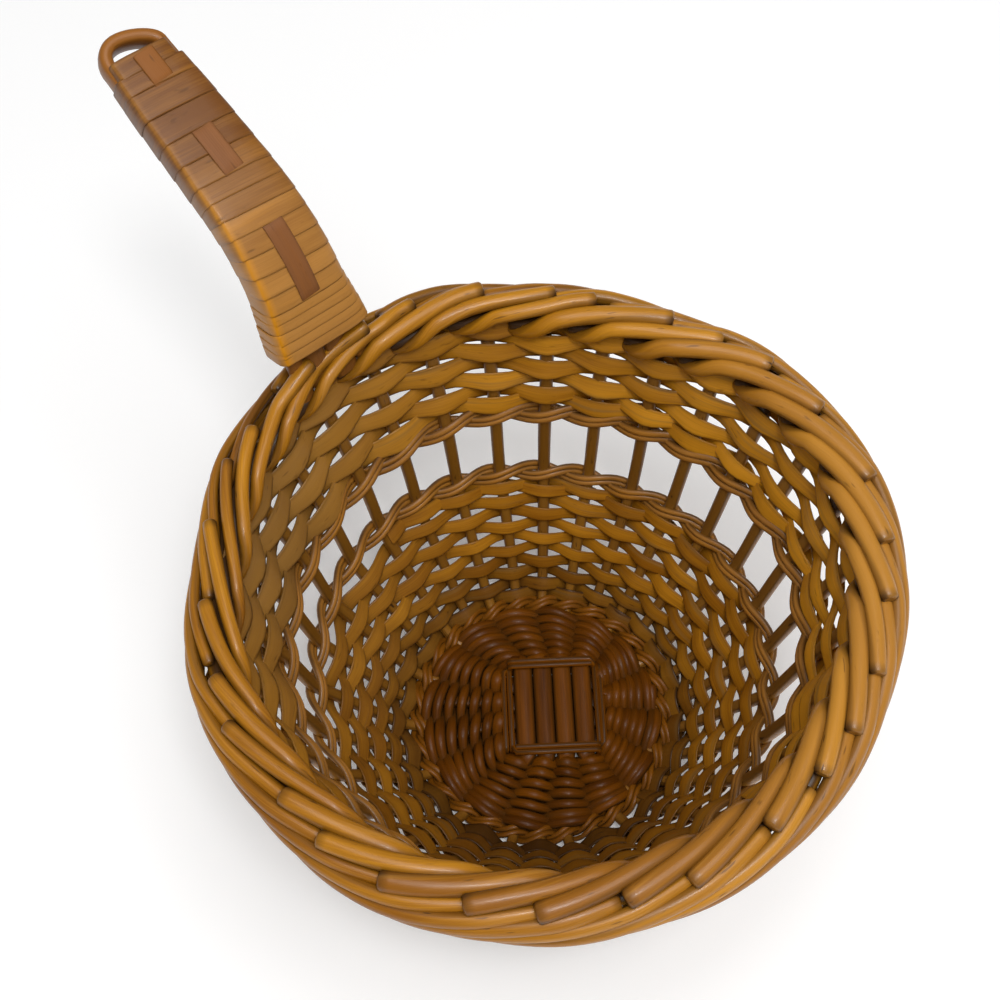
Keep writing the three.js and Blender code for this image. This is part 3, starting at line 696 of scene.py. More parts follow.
@dataclass
class Border:
    """The stakes and the rolled border that their own rods make.

    Attributes:
        bowl: what they are set out on.
        coil_radius: from the border's middle to a rod's middle, on top and inside.
        bulge: what the rods lie further out than that on the outside.
        bulge_turn: where they lie furthest out, as a turn from straight outwards.
        butt_rise: what a rod's cut end on top lies further out.
        butt_diameter: of a rod at its cut end on top.
        tip_diameter: of the same rod where it ends outside.
        pass_half: stake pitches on either side of the pass between two stakes.
        pass_radius: from the border's middle to a rod's middle in the pass.
        inner_swing: turn about the border's middle from the inside to the pass.
        outer_swing: turn about the border's middle from the pass to the outside.
        inner_reach: stake pitches from the cut end on top to the pass.
        outer_reach: stake pitches from the pass to the end outside.
        start: place of the cut end, as a turn from straight outwards.
        end: place of the end outside, likewise.
        end_dip: by which that end goes under the next rod's cut end.
        steps: outlines along a rod.
        core_reach: stake pitches that a stake's head runs on inside the border.
        core_radius: from the border's middle to its middle there.
        core_twist: turn about the border's middle that it makes in a stake pitch.
        core_steps: outlines along it there.
        tongue_turn: turn of the handle's tongue in the border.
        tongue_room: turn that the rods leave clear on either side of it.
        tongue_reach: angle about the bowl that they leave clear on either side of it.
        tongue_lift: by which a rod climbs that has to pass in front of it.
        thin_side: angle about the bowl at which the rods are thinnest.
        thin_half: angle from there to where they have their full size.
        thin: share of their size that they lack there.
        worn_side: angle about the bowl at which the cane is dullest.
        far_tone: how much paler the rods are on their palest side.
        far_side: angle about the bowl of that side.
        worn_half: angle from there to where it is not dull.
        worn: how dull it is there.
    """

    bowl: Bowl
    coil_radius: float = 8.3 * MM
    bulge: float = 1.4 * MM
    bulge_turn: float = math.radians(-22)
    butt_rise: float = 0.9 * MM
    butt_diameter: float = 6.7 * MM
    tip_diameter: float = 5.4 * MM
    pass_half: float = 0.36
    pass_radius: float = 5.0 * MM
    inner_swing: float = math.radians(112)
    outer_swing: float = math.radians(56)
    inner_reach: float = 2.45
    outer_reach: float = 4.75
    start: float = math.radians(62)
    end: float = math.radians(60)
    end_dip: float = 2.6 * MM
    steps: int = 60
    core_reach: float = 2.6
    core_radius: float = 2.6 * MM
    core_twist: float = math.radians(130)
    core_steps: int = 18
    tongue_turn: float = math.radians(70)
    tongue_room: float = math.radians(24)
    tongue_reach: float = math.radians(9.5)
    tongue_lift: float = 3.2 * MM
    thin_side: float = math.radians(218)
    thin_half: float = math.radians(95)
    thin: float = 0.27
    worn_side: float = math.radians(45)
    far_tone: float = 0.55
    far_side: float = math.radians(95)
    worn_half: float = math.radians(105)
    worn: float = 0.75
    chance: random.Random = field(default_factory=lambda: random.Random(11))

    @property
    def entry(self) -> float:
        """Turn about the border's middle at which the wall comes in."""
        return math.atan2(self.bowl.wall[-1][1] - self.bowl.rim_height,
                          self.bowl.wall[-1][0] - self.bowl.rim_radius) + FULL_TURN

    def turn(self, pitches: float) -> float:
        """Returns a rod's turn about the border's middle, at stake pitches from its pass."""
        if pitches < 0:
            near, swing, reach = self.inner_swing, self.entry - self.start, self.inner_reach
        else:
            near, swing, reach = self.outer_swing, self.end + FULL_TURN - self.entry, self.outer_reach
        passed = min(abs(pitches), self.pass_half) / self.pass_half
        past = max(abs(pitches) - self.pass_half, 0) / (reach - self.pass_half)
        return self.entry + math.copysign(passed * near + past * (swing - near), pitches)

    def eased_turn(self, pitches: float) -> float:
        """Returns the turn with the corners at the pass eased."""
        offsets = (-0.24, -0.12, 0.0, 0.12, 0.24)
        return sum(self.turn(pitches + offset) for offset in offsets) / len(offsets)

    def round_middle(self, angle: float, turn: float, radius: float) -> Vector:
        """Returns the point at a turn about the border's middle, a distance from it."""
        middle = self.bowl.rim_radius + self.bowl.sway_at(angle, self.bowl.rim_height)
        return around(angle, middle + radius * math.cos(turn),
                      self.bowl.rim_height + radius * math.sin(turn))

    def at_handle(self, angle: float) -> float:
        """Returns 1 where the handle goes into the border, and 0 away from it."""
        aside = abs(math.remainder(angle - self.bowl.handle_angle, FULL_TURN))
        return 1 - smoothstep(aside, self.tongue_reach, 1.6 * self.tongue_reach)

    def outer_end(self, pass_angle: float) -> float:
        """Finds how far a rod goes from its pass to its end outside.

        Args:
            pass_angle: where it passes between two stakes.

        Returns:
            The stake pitches to that end, which comes early where the handle is in the way.
        """
        step = 0.02
        pitches = self.pass_half
        while pitches < self.outer_reach:
            is_past = self.turn(pitches) - FULL_TURN > self.tongue_turn - self.tongue_room
            if is_past and self.at_handle(pass_angle + pitches * self.bowl.pitch) > 0.5:
                return pitches - step
            pitches += step
        return self.outer_reach

    def rod(self, stake: int) -> Strand:
        """Makes a border rod.

        Args:
            stake: number of the stake whose rod it is.

        Returns:
            The rod, from its cut end on top to its end outside.
        """
        chance = self.chance
        pass_angle = self.bowl.stake_angle(stake + 0.5)
        first = -self.inner_reach + chance.uniform(-0.15, 0.25)
        last = self.outer_end(pass_angle) - chance.uniform(0.0, 0.3)
        girth = chance.uniform(0.88, 1.08)
        clear = self.tongue_turn + self.tongue_room
        stations = []
        for step in range(self.steps + 1):
            share = step / self.steps
            pitches = lerp(first, last, share)
            angle = pass_angle + pitches * self.bowl.pitch
            turn = self.eased_turn(pitches)
            coil = self.coil_radius + self.bulge * max(math.cos(turn - self.bulge_turn), 0.0)
            coil += self.butt_rise * (1 - smoothstep(pitches - first, 0.0, 0.9))
            coil = lerp(self.pass_radius, coil, smoothstep(abs(pitches), 0.1, 0.75))
            coil += 0.9 * MM * drift(2.4 * share, stake)
            coil -= self.end_dip * smoothstep(pitches, self.outer_reach - 1.2, self.outer_reach)
            if turn < clear:
                short = (clear - turn) * self.at_handle(angle)
                turn += short
                coil += self.tongue_lift * short / self.tongue_room
            point = self.round_middle(angle, turn, coil)
            outward = around(angle, math.cos(turn), math.sin(turn))
            size = girth * lerp(self.butt_diameter, self.tip_diameter, share)
            size *= 1 - self.thin * self.bowl.nearness(angle, self.thin_side, self.thin_half)
            size *= 1 + 0.08 * drift(5 * share, stake + 0.4)
            # Painted shade at both ends: by the cut end on top, and where the tip tucks under the next rod.
            shade = 0.45 * (1 - smoothstep(share, 0.0, 0.015)) + 0.55 * smoothstep(share, 0.985, 1.0)
            worn = self.worn * self.bowl.nearness(angle, self.worn_side, self.worn_half)
            tone = self.far_tone * math.cos(angle - self.far_side) - 0.35
            stations.append(Station(point, outward, size, 0.9 * size, shade,
                                    tone + 0.7 * drift(2.5 * share, stake + 0.9),
                                    0.5 * drift(2.0 * share, stake + 0.3), worn))
        return Strand(stations, Section.ROD, tone=chance.uniform(-0.8, 0.9), grain=90.0 * stake,
                      end_round=0.9 * MM, end_size=0.66)

    def upright(self, stake: int) -> Strand:
        """Makes a stake from its foot in the base up the wall, with its head inside the border.

        Args:
            stake: the stake's number.

        Returns:
            The stake.
        """
        bowl = self.bowl
        angle = bowl.stake_angle(stake)
        sideways = around(angle + math.pi / 2, 1.0)
        worn = self.worn * bowl.nearness(angle, self.worn_side, self.worn_half)
        length = bowl.reaches[-1]
        count = 42
        stations = []
        for step in range(count + 1):
            share = step / count
            wall = bowl.wall_at(share * length)
            point = wall.at(angle) + sideways * (0.5 * MM * drift(3 * share, stake + 0.7))
            size = bowl.stake_size(share * length) * (1 + 0.07 * drift(5 * share, stake + 0.2))
            stations.append(Station(point, wall.outward(angle), size, size, worn=0.35 + 0.6 * worn))
        head = stations[-1].point
        # The head runs on inside the border with painted shade, standing in for the shaded hollow core.
        for step in range(1, self.core_steps + 1):
            pitches = self.core_reach * step / self.core_steps
            onward = angle + pitches * bowl.pitch
            inside = self.round_middle(onward, self.entry + pitches * self.core_twist, self.core_radius)
            point = head.lerp(inside, smoothstep(pitches, -0.1, 0.6))
            stations.append(Station(point, around(onward, 1.0), size, size, shade=0.5))
        return Strand(stations, Section.ROD, tone=self.chance.uniform(-0.3, 0.6), grain=70.0 * stake)

    def make(self) -> None:
        """Builds every stake with its rod."""
        for stake in range(self.bowl.stake_count):
            name = f"stake_{stake + 1:02d}"
            strands = [self.upright(stake), self.rod(stake)]
            Piece(f"{name}_cane", BORDER_CANE, strands, (name,)).make()


@dataclass
class WallWeave:
    """Flat skein in front of one stake and behind the next, in two strands that chase each other.

    Attributes:
        bowl: what it is set out on.
        node: stem of the solids' names.
        bottom: length along the wall where the first row starts.
        top: length along the wall where the last row ends.
        rows: rows from bottom to top.
        thickness: of the skein.
        fill: share of a row that the skein is wide, where it lies on a stake.
        waist: share of that width that it has halfway between two stakes.
        lean: turn by which the skein's upper edge leans outwards.
        first_shade: how dark the first rows are, as painted shade deep in the bowl.
        tone: how much paler or deeper it is than its finish.
        worn: how dull it is on the dullest side.
        worn_side: angle about the bowl of that side.
        worn_half: angle from there to where it is not dull.
        near_fill: how much wider it is on the widest side.
        near_shade: how much darker it is on that side, as painted shade.
        near_side: angle about the bowl of that side.
        near_half: angle from there to where it has its plain width.
        pale: how much paler it is on the palest side.
        pale_side: angle about the bowl of that side.
        thin: how much narrower it is on the palest side.
        last_fill: how much wider the last row is.
        is_upper: whether it is above the openwork band.
        steps: outlines from one stake to the next.
        seed: of its small irregularities.
    """

    bowl: Bowl
    node: str
    bottom: float
    top: float
    rows: int
    thickness: float = 0.8 * MM
    fill: float = 1.24
    waist: float = 0.78
    lean: float = 0.08
    first_shade: float = 0.0
    tone: float = 0.1
    worn: float = 0.8
    worn_side: float = math.radians(212)
    worn_half: float = math.radians(75)
    near_fill: float = 0.0
    near_shade: float = 0.0
    near_side: float = math.radians(-50)
    near_half: float = math.radians(90)
    pale: float = 1.5
    pale_side: float = math.radians(45)
    thin: float = 0.17
    last_fill: float = 0.4
    is_upper: bool = True
    steps: int = 6
    seed: int = 1

    def skein(self, is_follower: bool) -> Strand:
        """Makes one of the two skeins.

        Args:
            is_follower: whether it is the one that chases the other, half a turn behind.

        Returns:
            The skein.
        """
        bowl = self.bowl
        number = self.seed + (0.5 if is_follower else 0.0)
        pitch = (self.top - self.bottom) / self.rows
        half_turn = bowl.stake_count / 2
        first = half_turn if is_follower else -half_turn
        lag = half_turn if is_follower else 0.0
        side = -1 if is_follower else 1
        count = round(self.rows * half_turn - first) * self.steps
        stations = []
        for step in range(count + 1):
            stakes = first + step / self.steps
            swing = side * math.cos(math.pi * stakes)
            row = min(max((stakes - lag) / half_turn, 0.0), self.rows - 1.0)
            length = self.bottom + pitch * (0.5 + row)
            wall = bowl.wall_at(length)
            angle = bowl.stake_angle(stakes)
            offset = bowl.stake_size(length) / 2 + bowl.strand_room
            lift = 0.9 * MM * drift(0.45 * stakes, number)
            share = row / (self.rows - 1)
            lift += bowl.band_rise(angle, self.is_upper) * (1 - share if self.is_upper else share)
            point = wall.at(angle, out=offset * swing, along=lift)
            width = self.fill * pitch * (1 + 0.16 * drift(0.3 * stakes, number + 0.2))
            width *= lerp(self.waist, 1.0, swing * swing)
            worn = self.worn * bowl.nearness(angle, self.worn_side, self.worn_half)
            width *= 1 + 0.45 * worn + self.near_fill * bowl.nearness(angle, self.near_side, self.near_half)
            width *= 1 - self.thin * bowl.nearness(angle, self.pale_side, self.near_half)
            width *= 1 + self.last_fill * smoothstep(row, self.rows - 2.5, self.rows - 1.2)
            roll = self.lean + 0.16 * drift(0.8 * stakes, number + 0.3)
            # Painted shade: where the skein passes behind a stake on the outside, on the first rows, and on
            # the near side.
            shade = 0.28 * smoothstep(swing, 0.2, 1.0)
            shade += self.first_shade * (1 - smoothstep(row, 0.0, 4.5))
            shade += self.near_shade * bowl.nearness(angle, self.near_side, self.near_half)
            tone = self.pale * bowl.nearness(angle, self.pale_side, self.near_half)
            tone += 1.3 * drift(0.5 * stakes, number + 0.4)
            stations.append(Station(point, wall.outward(angle), width, self.thickness, shade, tone, roll,
                                    worn))
        return Strand(stations, Section.SKEIN, grain=1000.0 * number, tone=self.tone)

    def make(self) -> None:
        """Builds both skeins."""
        for letter, is_follower in (("a", False), ("b", True)):
            name = f"{self.node}_{letter}"
            Piece(f"{name}_skein", SKEIN_CANE, [self.skein(is_follower)], (name,)).make()


class BandEdge(Enum):
    """An edge of the openwork band."""

    BOTTOM = "bottom"
    TOP = "top"


@dataclass
class Pairing:
    """A row of two strands that twist about each other between the stakes.

    Attributes:
        bowl: what it is set out on.
        node: stem of the solids' names.
        length: along the wall, of the row's middle.
        finish: its cane.
        width: of a strand, along the wall.
        thickness: of a strand.
        crossing: from the row's middle to a strand's middle where the two cross.
        plies: thin canes that lie side by side in a strand.
        tone: how much paler or deeper it is than its finish.
        worn: how dull it is.
        edge: the edge of the openwork band that it closes.
        steps: outlines from one stake to the next.
        seed: of its small irregularities.
    """

    bowl: Bowl
    node: str
    length: float
    finish: CaneFinish = PAIRING_CANE
    width: float = 5.9 * MM
    thickness: float = 2.0 * MM
    crossing: float = 1.7 * MM
    plies: int = 2
    tone: float = 0.0
    worn: float = 0.3
    edge: BandEdge | None = None
    steps: int = 8
    seed: int = 1

    def strand(self, is_second: bool, ply: int) -> Strand:
        """Makes one thin cane of one of the two strands.

        Args:
            is_second: whether the strand is the one that starts behind a stake.
            ply: number of the cane in its strand, from 0.

        Returns:
            The cane, as a loop.
        """
        bowl = self.bowl
        side = -1 if is_second else 1
        number = self.seed + (0.5 if is_second else 0.0) + 0.13 * ply
        offset = bowl.stake_size(self.length) / 2 + self.thickness / 2 - 0.8 * MM
        place = (ply - (self.plies - 1) / 2) / self.plies * self.width
        stations = []
        for step in range(bowl.stake_count * self.steps):
            stakes = step / self.steps
            wall = bowl.wall_at(self.length)
            angle = bowl.stake_angle(stakes)
            out = side * offset * math.cos(math.pi * stakes)
            rise = side * self.crossing * math.sin(math.pi * stakes)
            rise += place + 0.4 * MM * drift(0.5 * stakes, number)
            if self.edge is not None:
                rise += bowl.band_rise(angle, self.edge is BandEdge.TOP)
            point = wall.at(angle, out=out, along=rise)
            size = 1.12 + 0.25 * drift(0.35 * stakes, number + 0.2)
            # Painted shade where the two strands cross between the stakes.
            shade = 0.3 * abs(math.sin(math.pi * stakes)) ** 3
            worn = self.worn * (1 + drift(0.4 * stakes, number + 0.6))
            stations.append(Station(point, wall.outward(angle), size * self.width / self.plies,
                                    size * self.thickness, shade, worn=worn))
        return Strand(stations, Section.STRAND, grain=500.0 * number, is_loop=True, tone=self.tone)

    def make(self) -> None:
        """Builds both strands."""
        for letter, is_second in (("a", False), ("b", True)):
            name = f"{self.node}_{letter}"
            strands = [self.strand(is_second, ply) for ply in range(self.plies)]
            Piece(f"{name}_strand", self.finish, strands, (name,)).make()


@dataclass
class Base:
    """The base: a cross of sticks, its lashings and the rounds of pairing on its arms.

    Attributes:
        cross_turn: of the lower sticks, from the frame's X axis.
        cross_shift: from the bowl's axis to the middle of the cross, which was laid off centre.
        per_side: sticks each way.
        stick_width: of a stick in the cross.
        stick_thickness: of a stick in the cross.
        stick_pitch: from one stick to the next.
        arm_width: of a stick out among the weavers.
        arm_thickness: of a stick out among the weavers.
        arm_bottom: height of an arm's underside.
        arm_reach: from the base's middle to an arm's end.
        arm_bend: length in which an arm comes level past its lashing.
        gap: between two sticks that lie on each other.
        lashing_diameter: of a lashing strand.
        lashing_turns: turns of it on each side.
        weaver_width: of a weaving strand.
        weaver_thickness: of a weaving strand.
        slant: by which a strand shifts out or in between two arms.
        rounds: rounds of pairing.
        first_round: distance of the first round's flat side from the base's middle.
        last_round: radius of the last round.
        first_power: how square the first round is, where 2 is a circle.
        steps: outlines from one arm to the next.
    """

    cross_turn: float = math.radians(49.5)
    cross_shift: Vector = field(default_factory=lambda: Vector((1.8, 5.1, 0)) * MM)
    per_side: int = 4
    stick_width: float = 7.6 * MM
    stick_thickness: float = 5 * MM
    stick_pitch: float = 7.7 * MM
    arm_width: float = 4.4 * MM
    arm_thickness: float = 3.6 * MM
    arm_bottom: float = 2.9 * MM
    arm_reach: float = 46.5 * MM
    arm_bend: float = 3 * MM
    gap: float = 0.3 * MM
    lashing_diameter: float = 2.2 * MM
    lashing_turns: int = 2
    weaver_width: float = 4.3 * MM
    weaver_thickness: float = 3.3 * MM
    slant: float = 0.7 * MM
    rounds: int = 7
    first_round: float = 21.1 * MM
    last_round: float = 45 * MM
    first_power: float = 5.0
    steps: int = 10
    chance: random.Random = field(default_factory=lambda: random.Random(5))

    @property
    def cross_half(self) -> float:
        """Half the width of the four sticks that lie side by side."""
        return ((self.per_side - 1) * self.stick_pitch + self.stick_width) / 2

    @property
    def arm_angle(self) -> float:
        """Angle from one arm to the next."""
        return FULL_TURN / (4 * self.per_side)

    def shift_at(self, distance: float) -> Vector:
        """Returns how far the base is off centre there, which fades out towards its edge."""
        return self.cross_shift * (1 - smoothstep(distance, self.cross_half, self.last_round))

    def lashing_start(self, is_upper: bool) -> float:
        """Returns the distance of a lashing's first turn from the base's middle."""
        first = self.cross_half + self.gap + self.lashing_diameter / 2
        return first if is_upper else first + self.gap

    def lashing_end(self, is_upper: bool) -> float:
        """Returns the distance of a lashing's outer side from the base's middle."""
        return self.lashing_start(is_upper) + (self.lashing_turns - 0.5) * self.lashing_diameter

    def faces(self, distance: float, is_upper: bool) -> tuple[float, float]:
        """Finds a stick's faces.

        Args:
            distance: from the base's middle.
            is_upper: whether the stick lies on the others.

        Returns:
            The heights of its underside and its top.
        """
        low = self.stick_thickness + self.gap if is_upper else 0.0
        high = low + self.stick_thickness
        if not is_upper:
            pared = smoothstep(distance, self.cross_half - 1 * MM, self.cross_half + 1 * MM)
            low = lerp(low, self.lashing_diameter, pared)
        end = self.lashing_end(is_upper)
        share = smoothstep(distance, end - 1 * MM, end + self.arm_bend)
        return lerp(low, self.arm_bottom, share), lerp(high, self.arm_bottom + self.arm_thickness, share)

    def stick(self, number: int, is_upper: bool) -> Strand:
        """Makes a stick with an arm at either end.

        Args:
            number: of the stick, from 0.
            is_upper: whether it lies on the others.

        Returns:
            The stick.
        """
        run = self.cross_turn + (math.pi / 2 if is_upper else 0.0)
        along, across = around(run, 1.0), around(run + math.pi / 2, 1.0)
        place = number - (self.per_side - 1) / 2
        lean = place * self.arm_angle
        reach = (self.arm_reach - self.arm_width / 2 * abs(math.sin(lean))) * math.cos(lean)
        count = 40
        end = self.lashing_end(is_upper)
        stations = []
        for step in range(count + 1):
            distance = lerp(-reach, reach, step / count)
            away = abs(distance)
            fanned = smoothstep(away, end - 1 * MM, end + self.arm_bend)
            aside = lerp(place * self.stick_pitch, away * math.tan(lean), fanned)
            low, high = self.faces(away, is_upper)
            width = lerp(self.stick_width, self.arm_width, fanned)
            point = along * distance + across * aside + UP * ((low + high) / 2)
            stations.append(Station(point + self.shift_at(away), UP, width, high - low))
        return Strand(stations, Section.STICK, grain=130.0 * number + 40, tone=self.chance.uniform(-0.4, 0.4))

    def lashing(self, side: int) -> Strand:
        """Makes the turns that lash the four arms on one side of the cross together.

        Args:
            side: number of the side, from 0.

        Returns:
            The lashing.
        """
        is_upper = side % 2 == 1
        outward = around(self.cross_turn + side * math.pi / 2, 1.0)
        sideways = around(self.cross_turn + (side + 1) * math.pi / 2, 1.0)
        low, high = self.faces(self.lashing_start(is_upper), is_upper)
        half = self.lashing_diameter / 2
        over, under = high + (0.8 if is_upper else 3.2) * half, max(low - half, half)
        aside = self.cross_half + half
        corners = [(-aside, over), (aside, over), (aside, under), (-aside, under)]
        stations = []
        for corner in range(self.lashing_turns * len(corners) - 1):
            here = corners[corner % len(corners)]
            after = corners[(corner + 1) % len(corners)]
            turn = corner // len(corners)
            distance = self.lashing_start(is_upper) + turn * self.lashing_diameter
            is_last = corner == self.lashing_turns * len(corners) - 2
            for share in (0.0,) if is_last else (0.03, 0.3, 0.6, 0.97):
                place, height = lerp(here[0], after[0], share), lerp(here[1], after[1], share)
                point = outward * distance + sideways * place + UP * height + self.shift_at(distance)
                stations.append(Station(point, outward, self.lashing_diameter, self.lashing_diameter))
        return Strand(stations, Section.STRAND, grain=60.0 * side, tone=2.4)

    def round_radius(self, angle: float, round_number: float) -> float:
        """Finds how far out a round of pairing lies.

        Args:
            angle: about the base's middle.
            round_number: from 0, with its fraction.

        Returns:
            The distance from the base's middle.
        """
        share = min(max(round_number / (self.rounds - 1), 0.0), 1.0)
        cosine = abs(math.cos(angle - self.cross_turn)) ** self.first_power
        sine = abs(math.sin(angle - self.cross_turn)) ** self.first_power
        square = (cosine + sine) ** (-1 / self.first_power)
        return lerp(self.first_round, self.last_round, share) * lerp(square, 1.0, share)

    def weaver(self, is_second: bool) -> Strand:
        """Makes one of the two strands of the pairing, from the first round to the last.

        Args:
            is_second: whether it is the one that starts under an arm.

        Returns:
            The strand.
        """
        side = -1 if is_second else 1
        number = 3.5 if is_second else 3.0
        arms = 4 * self.per_side
        middle = self.arm_bottom + self.arm_thickness / 2
        swing = self.arm_thickness / 2 + self.weaver_thickness / 2
        count = self.rounds * arms * self.steps
        stations = []
        for step in range(count + 1):
            passed = step / self.steps
            angle = self.cross_turn + (passed + 0.5) * self.arm_angle
            radius = self.round_radius(angle, passed / arms - 0.5)
            lift = side * swing * math.cos(math.pi * passed)
            shift = self.slant * side * math.sin(math.pi * passed)
            shift += 0.25 * MM * drift(0.6 * passed, number)
            height = max(middle + lift, self.weaver_thickness / 2)
            point = around(angle, radius + shift, height) + self.shift_at(radius)
            width = self.weaver_width * (1 + 0.16 * drift(0.7 * passed, number + 0.2))
            width *= 1 - 0.1 * math.sin(math.pi * passed) ** 2
            width *= 1 + 0.4 * max(-lift / swing, 0.0)
            width *= 1.3 - 0.3 * smoothstep(passed / arms, 0.4, 1.2)
            # Painted shade where the strand dips to pass under an arm, darkening the valleys between the
            # rounds.
            shade = 0.75 * smoothstep(-lift, -0.75 * swing, 0.3 * swing)
            stations.append(Station(point, UP, width, self.weaver_thickness, shade,
                                    drift(0.5 * passed, number + 0.4)))
        return Strand(stations, Section.STRAND, grain=900.0 * number)

    def make(self) -> None:
        """Builds the sticks, the lashings and the pairing."""
        for is_upper in (False, True):
            stem = "base_upper_stick" if is_upper else "base_lower_stick"
            for number in range(self.per_side):
                name = f"{stem}_{number + 1:02d}"
                Piece(f"{name}_cane", BASE_CANE, [self.stick(number, is_upper)], (name,)).make()
        for side in range(4):
            name = f"base_lashing_{side + 1:02d}"
            Piece(f"{name}_strand", BASE_CANE, [self.lashing(side)], (name,)).make()
        for letter, is_second in (("a", False), ("b", True)):
            name = f"base_weaver_{letter}"
            Piece(f"{name}_strand", BASE_CANE, [self.weaver(is_second)], (name,)).make()


@dataclass(frozen=True)
class LapGroup:
    """Laps of the handle that lie next to each other.

    Attributes:
        laps: how many there are.
        width: of each, with the gap to the next.
        is_under_leader: whether the leader strip lies over them.
    """

    laps: int
    width: float
    is_under_leader: bool


@dataclass
class Handle:
    """The handle: a bent rod, two rods between its legs, the lapping and the leader strip.

    Attributes:
        bowl: what it leaves from.
        steepness: of the handle where it leaves the border.
        slope: of the handle at the loop.
        rise: length of the straight stretch from the border's middle to the bend.
        bend_radius: of the bend.
        lap_start: length from the border's middle to the first lap.
        root_spread: from the handle's middle to a leg's middle, at the border.
        loop_spread: the same at the loop.
        loop_reach: from the end of the lapping to the loop's middle line.
        loop_slant: by which the loop lies further out on one side, for its distance aside.
        leg_width: of a leg.
        leg_depth: of a leg.
        tongue_depth: of a leg where it is pared to go into the border.
        loop_width: of the bent rod in the loop, seen from above.
        root_cover: from a leg's outer side to the lapping's outer side, at the border.
        loop_cover: the same at the loop.
        root_flare: by which the first laps stand out further than that.
        flare_length: of the stretch where they do.
        taper: how fast the handle narrows from the border, where 1 is evenly.
        tip_length: of the stretch at the loop where the lapping draws in.
        tip_draw: by which it draws in there.
        top: from the handle's middle up to the lapping's outer side.
        bottom: from the handle's middle down to the lapping's outer side.
        lap_thickness: of the lapping.
        lap_over: by which a lap lies over the next.
        lap_square: squareness of the handle's outline.
        lap_slant: by which a lap lies further from the loop on one side, for its distance aside.
        ridge_turn: place of the ridge along the handle, as a turn from straight down.
        ridge_width: of the ridge, likewise.
        ridge_height: by which it stands out.
        climb: part of a turn, on the underside, in which a lap climbs to the next.
        leader_width: of the leader strip.
        leader_thickness: of the leader strip.
        groups: the laps from the border to the loop.
    """

    bowl: Bowl
    steepness: float = math.radians(70)
    slope: float = math.radians(27)
    rise: float = 44.8 * MM
    bend_radius: float = 50 * MM
    lap_start: float = 21.5 * MM
    root_spread: float = 13.0 * MM
    loop_spread: float = 9.4 * MM
    loop_reach: float = 7.2 * MM
    loop_slant: float = 0.25
    leg_width: float = 6 * MM
    leg_depth: float = 10 * MM
    tongue_depth: float = 3.6 * MM
    loop_width: float = 4.6 * MM
    root_cover: float = 2.2 * MM
    loop_cover: float = 0.7 * MM
    root_flare: float = 1.8 * MM
    flare_length: float = 26 * MM
    taper: float = 0.6
    tip_length: float = 11 * MM
    tip_draw: float = 2.2 * MM
    top: float = 7.6 * MM
    bottom: float = 6.3 * MM
    lap_thickness: float = 0.6 * MM
    lap_over: float = 0.7 * MM
    lap_square: float = 0.32
    lap_slant: float = 0.11
    ridge_turn: float = 1.25 * math.pi
    ridge_width: float = 0.17
    ridge_height: float = 0.5 * MM
    climb: float = 0.2
    leader_width: float = 7.4 * MM
    leader_thickness: float = 0.5 * MM
    groups: tuple[LapGroup, ...] = (
        LapGroup(5, 3.96 * MM, False), LapGroup(4, 6.4 * MM, True), LapGroup(3, 5.5 * MM, False),
        LapGroup(2, 8.4 * MM, True), LapGroup(2, 9.0 * MM, False), LapGroup(2, 5.8 * MM, True))
    chance: random.Random = field(default_factory=lambda: random.Random(23))

    @property
    def loop_start(self) -> float:
        """Length from the border's middle to the end of the lapping."""
        return self.lap_start + sum(group.laps * group.width for group in self.groups)

    def at(self, length: float) -> tuple[Vector, Vector, Vector]:
        """Finds the handle's middle line.

        Args:
            length: along it from the border's middle.

        Returns:
            The point there, the line's direction and the handle's upward normal.
        """
        bend = self.bend_radius * (self.steepness - self.slope)
        slope = self.steepness - min(max(length - self.rise, 0.0), bend) / self.bend_radius
        before, after = min(length, self.rise), max(length - self.rise - bend, 0.0)
        radius = (self.bowl.rim_radius + before * math.cos(self.steepness) + after * math.cos(slope)
                  + self.bend_radius * (math.sin(self.steepness) - math.sin(slope)))
        height = (self.bowl.rim_height + before * math.sin(self.steepness) + after * math.sin(slope)
                  + self.bend_radius * (math.cos(slope) - math.cos(self.steepness)))
        turn = self.bowl.handle_angle
        return (around(turn, radius, height), around(turn, math.cos(slope), math.sin(slope)),
                around(turn, -math.sin(slope), math.cos(slope)))

    @property
    def side(self) -> Vector:
        """Direction across the handle."""
        return around(self.bowl.handle_angle - math.pi / 2, 1.0)

    def spread(self, length: float) -> float:
        """Returns the distance from the handle's middle to a leg's middle."""
        return lerp(self.root_spread, self.loop_spread, self.narrowed(length))

    def narrowed(self, length: float) -> float:
        """Returns how much of the handle's narrowing has been done, from 0 to 1."""
        return min(max(length / self.loop_start, 0.0), 1.0) ** self.taper

    def leg(self, length: float) -> float:
        """Returns a leg's width, which is pared down towards the loop."""
        return lerp(self.leg_width, self.loop_width, min(max(length / self.loop_start, 0.0), 1.0) ** 4)

    def half_width(self, length: float) -> float:
        """Returns the distance from the handle's middle to the lapping's outer side."""
        cover = lerp(self.root_cover, self.loop_cover, self.narrowed(length))
        flare = 1 - smoothstep(length, self.lap_start, self.lap_start + self.flare_length)
        drawn = self.tip_draw * smoothstep(length, self.loop_start - self.tip_length, self.loop_start)
        return self.spread(length) + self.leg(length) / 2 + cover + self.root_flare * flare - drawn

    def depth(self, length: float) -> float:
        """Returns a leg's depth, which is pared down in the border."""
        share = smoothstep(length, self.lap_start - 9 * MM, self.lap_start + self.leg_depth)
        return lerp(self.tongue_depth, self.leg_depth, share)

